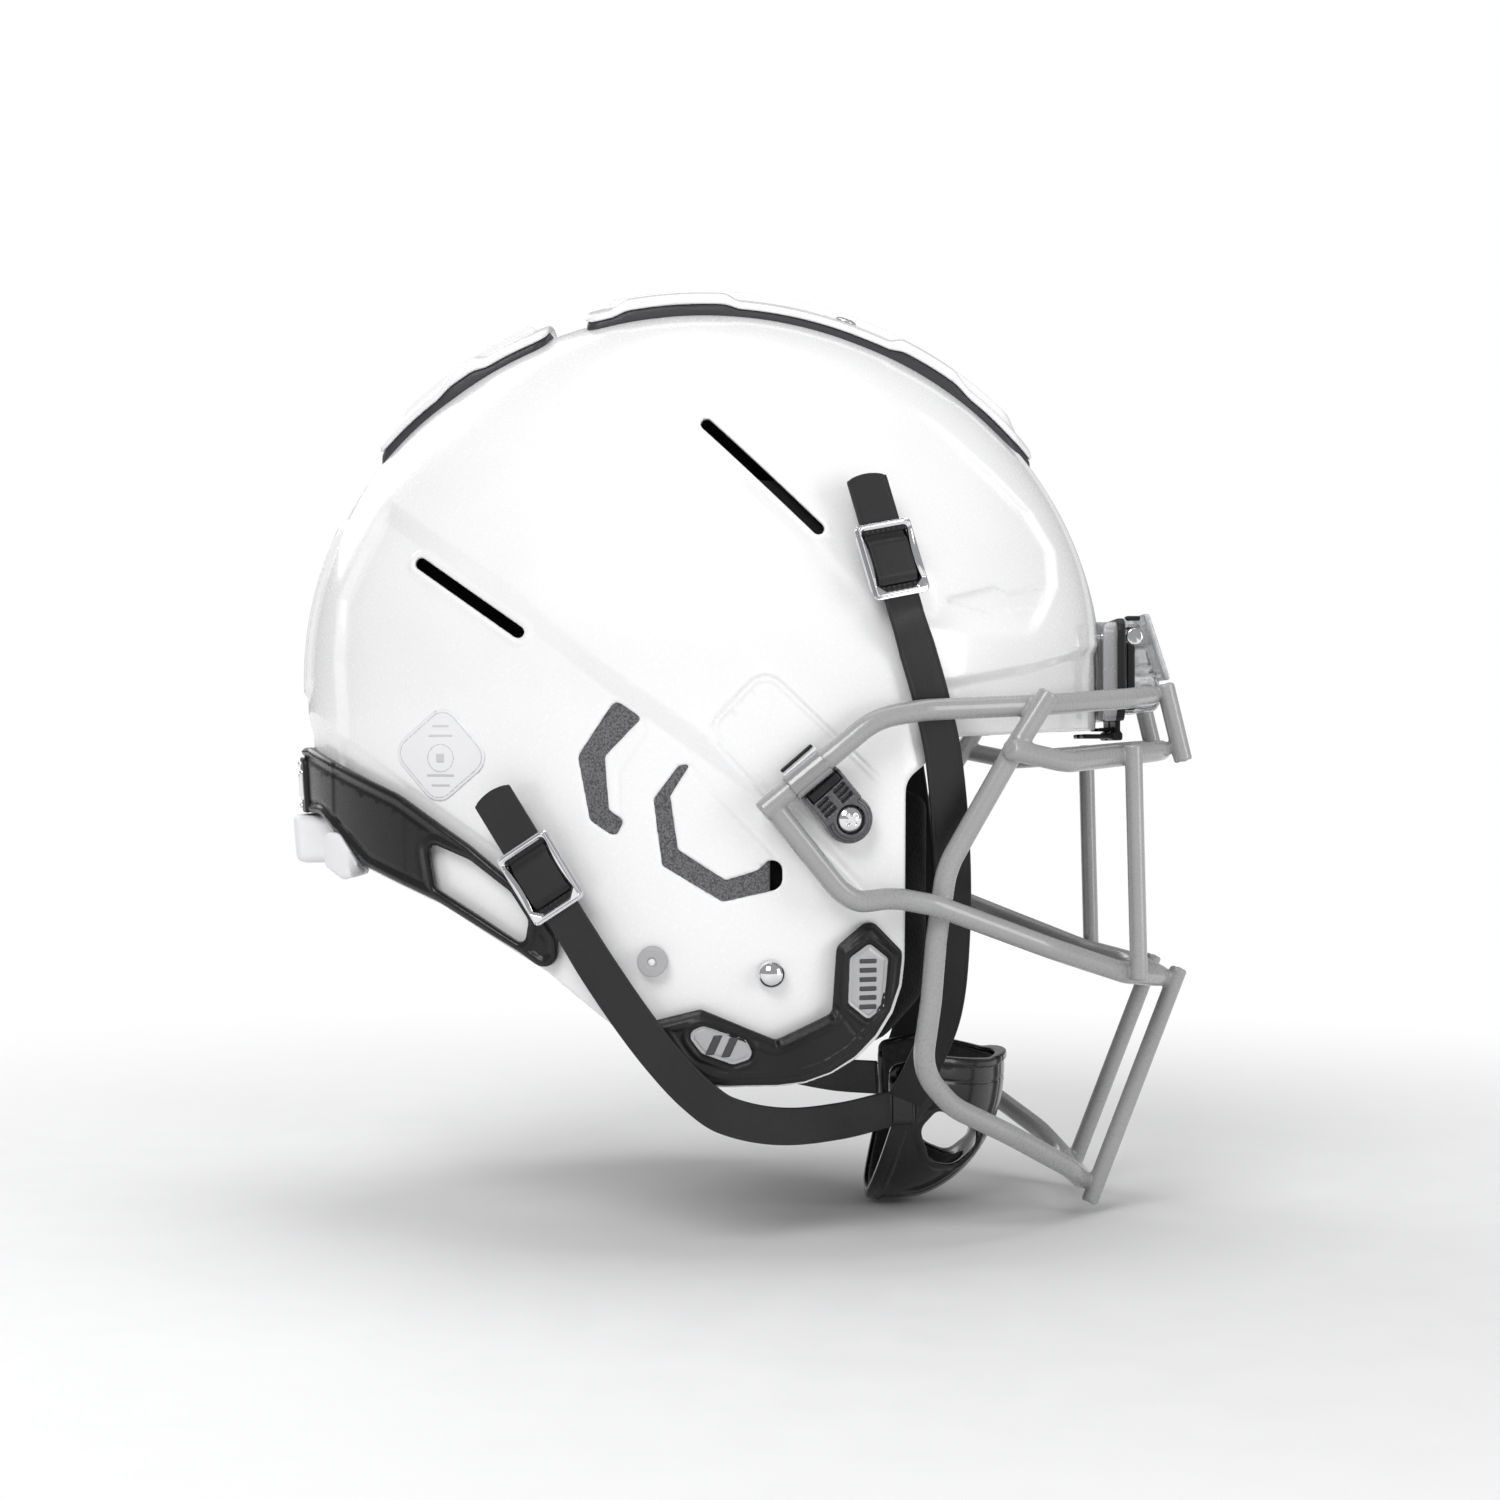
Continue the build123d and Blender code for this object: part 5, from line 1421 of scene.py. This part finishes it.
for nut_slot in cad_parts["shell_nuts"].material_slots:
    nut_slot.material = steel

# ---- stage, light and camera
world = bpy.data.worlds.new("studio")
bpy.context.scene.world = world
bpy.context.scene.view_settings.view_transform = "Standard"
WORLD_LIGHT = 0.38


def plain_world(made):
    """An even soft light all round, in front of a white ground."""
    made.use_nodes = True
    nodes, links = made.node_tree.nodes, made.node_tree.links
    light = nodes["Background"]
    light.inputs["Color"].default_value = (0.985, 0.99, 1.0, 1.0)
    light.inputs["Strength"].default_value = WORLD_LIGHT
    ground = nodes.new("ShaderNodeBackground")
    ground.inputs["Color"].default_value = (1.0, 1.0, 1.0, 1.0)
    ground.inputs["Strength"].default_value = 1.0
    rays, mix = nodes.new("ShaderNodeLightPath"), nodes.new("ShaderNodeMixShader")
    links.new(rays.outputs["Is Camera Ray"], mix.inputs[0])
    links.new(light.outputs[0], mix.inputs[1])
    links.new(ground.outputs[0], mix.inputs[2])
    links.new(mix.outputs[0], nodes["World Output"].inputs["Surface"])


plain_world(world)


def lamp(name, size, power, spot, target=(0.0, 0.0, -0.02)):
    light = bpy.data.lights.new(name, "AREA")
    light.shape = "RECTANGLE"
    light.size, light.size_y = size
    light.energy = power
    made = bpy.data.objects.new(name, light)
    made.location = spot
    made.rotation_euler = (Vector(target) - Vector(spot)).to_track_quat("-Z", "Y").to_euler()
    bpy.context.scene.collection.objects.link(made)


for name, size, power, spot in (
    ("key", (0.9, 0.9), 20, (-0.55, -1.5, 1.15)),
    ("top", (1.2, 1.2), 9, (0.1, 0.2, 1.6)),
    ("front_fill", (0.6, 1.0), 8, (1.5, -0.9, 0.3)),
    ("back_rim", (1.0, 1.0), 9, (-0.9, 1.3, 0.9)),
):
    lamp(name, size, power, spot)

FLOOR_GAP, FLOOR_REACH = 0.0005, 40.0
floor_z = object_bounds()[0].z - FLOOR_GAP
floor_mesh = bpy.data.meshes.new("floor")
corner_signs = ((-1, -1), (1, -1), (1, 1), (-1, 1))
floor_corners = [(a * FLOOR_REACH, b * FLOOR_REACH, floor_z) for a, b in corner_signs]
floor_mesh.from_pydata(floor_corners, [], [(0, 1, 2, 3)])
floor = bpy.data.objects.new("floor", floor_mesh)
bpy.context.scene.collection.objects.link(floor)


def pale_floor():
    """A pale matt floor that turns into the white ground away from the helmet."""
    made = finish("floor_pale", (0.84, 0.84, 0.845), 0.6, grain=60, bump=0.02, shift=0.008)
    nodes, links = made.node_tree.nodes, made.node_tree.links
    place, away = nodes.new("ShaderNodeTexCoord"), nodes.new("ShaderNodeVectorMath")
    away.operation = "LENGTH"
    links.new(place.outputs["Object"], away.inputs[0])
    far = nodes.new("ShaderNodeMapRange")
    far.interpolation_type = "SMOOTHSTEP"
    far.inputs["From Min"].default_value = 0.26
    far.inputs["From Max"].default_value = 0.8
    links.new(away.outputs["Value"], far.inputs["Value"])
    ground, mix = nodes.new("ShaderNodeEmission"), nodes.new("ShaderNodeMixShader")
    ground.inputs["Strength"].default_value = 1.0
    links.new(far.outputs["Result"], mix.inputs[0])
    links.new(nodes["Principled BSDF"].outputs[0], mix.inputs[1])
    links.new(ground.outputs[0], mix.inputs[2])
    links.new(mix.outputs[0], nodes["Material Output"].inputs["Surface"])
    return made


floor_mesh.materials.append(pale_floor())

LENS, SENSOR = 63.34, 36.0
EYE = (0.017, -0.9764, -0.0259)             # where the photograph was taken from, as near as can be told
camera = bpy.data.cameras.new("camera")
camera.lens, camera.sensor_width = LENS, SENSOR
camera.clip_start, camera.clip_end = 0.05, 200.0
eye = bpy.data.objects.new("camera", camera)
eye.location = EYE
eye.rotation_euler = (math.radians(90), 0, 0)
bpy.context.scene.collection.objects.link(eye)
bpy.context.scene.camera = eye
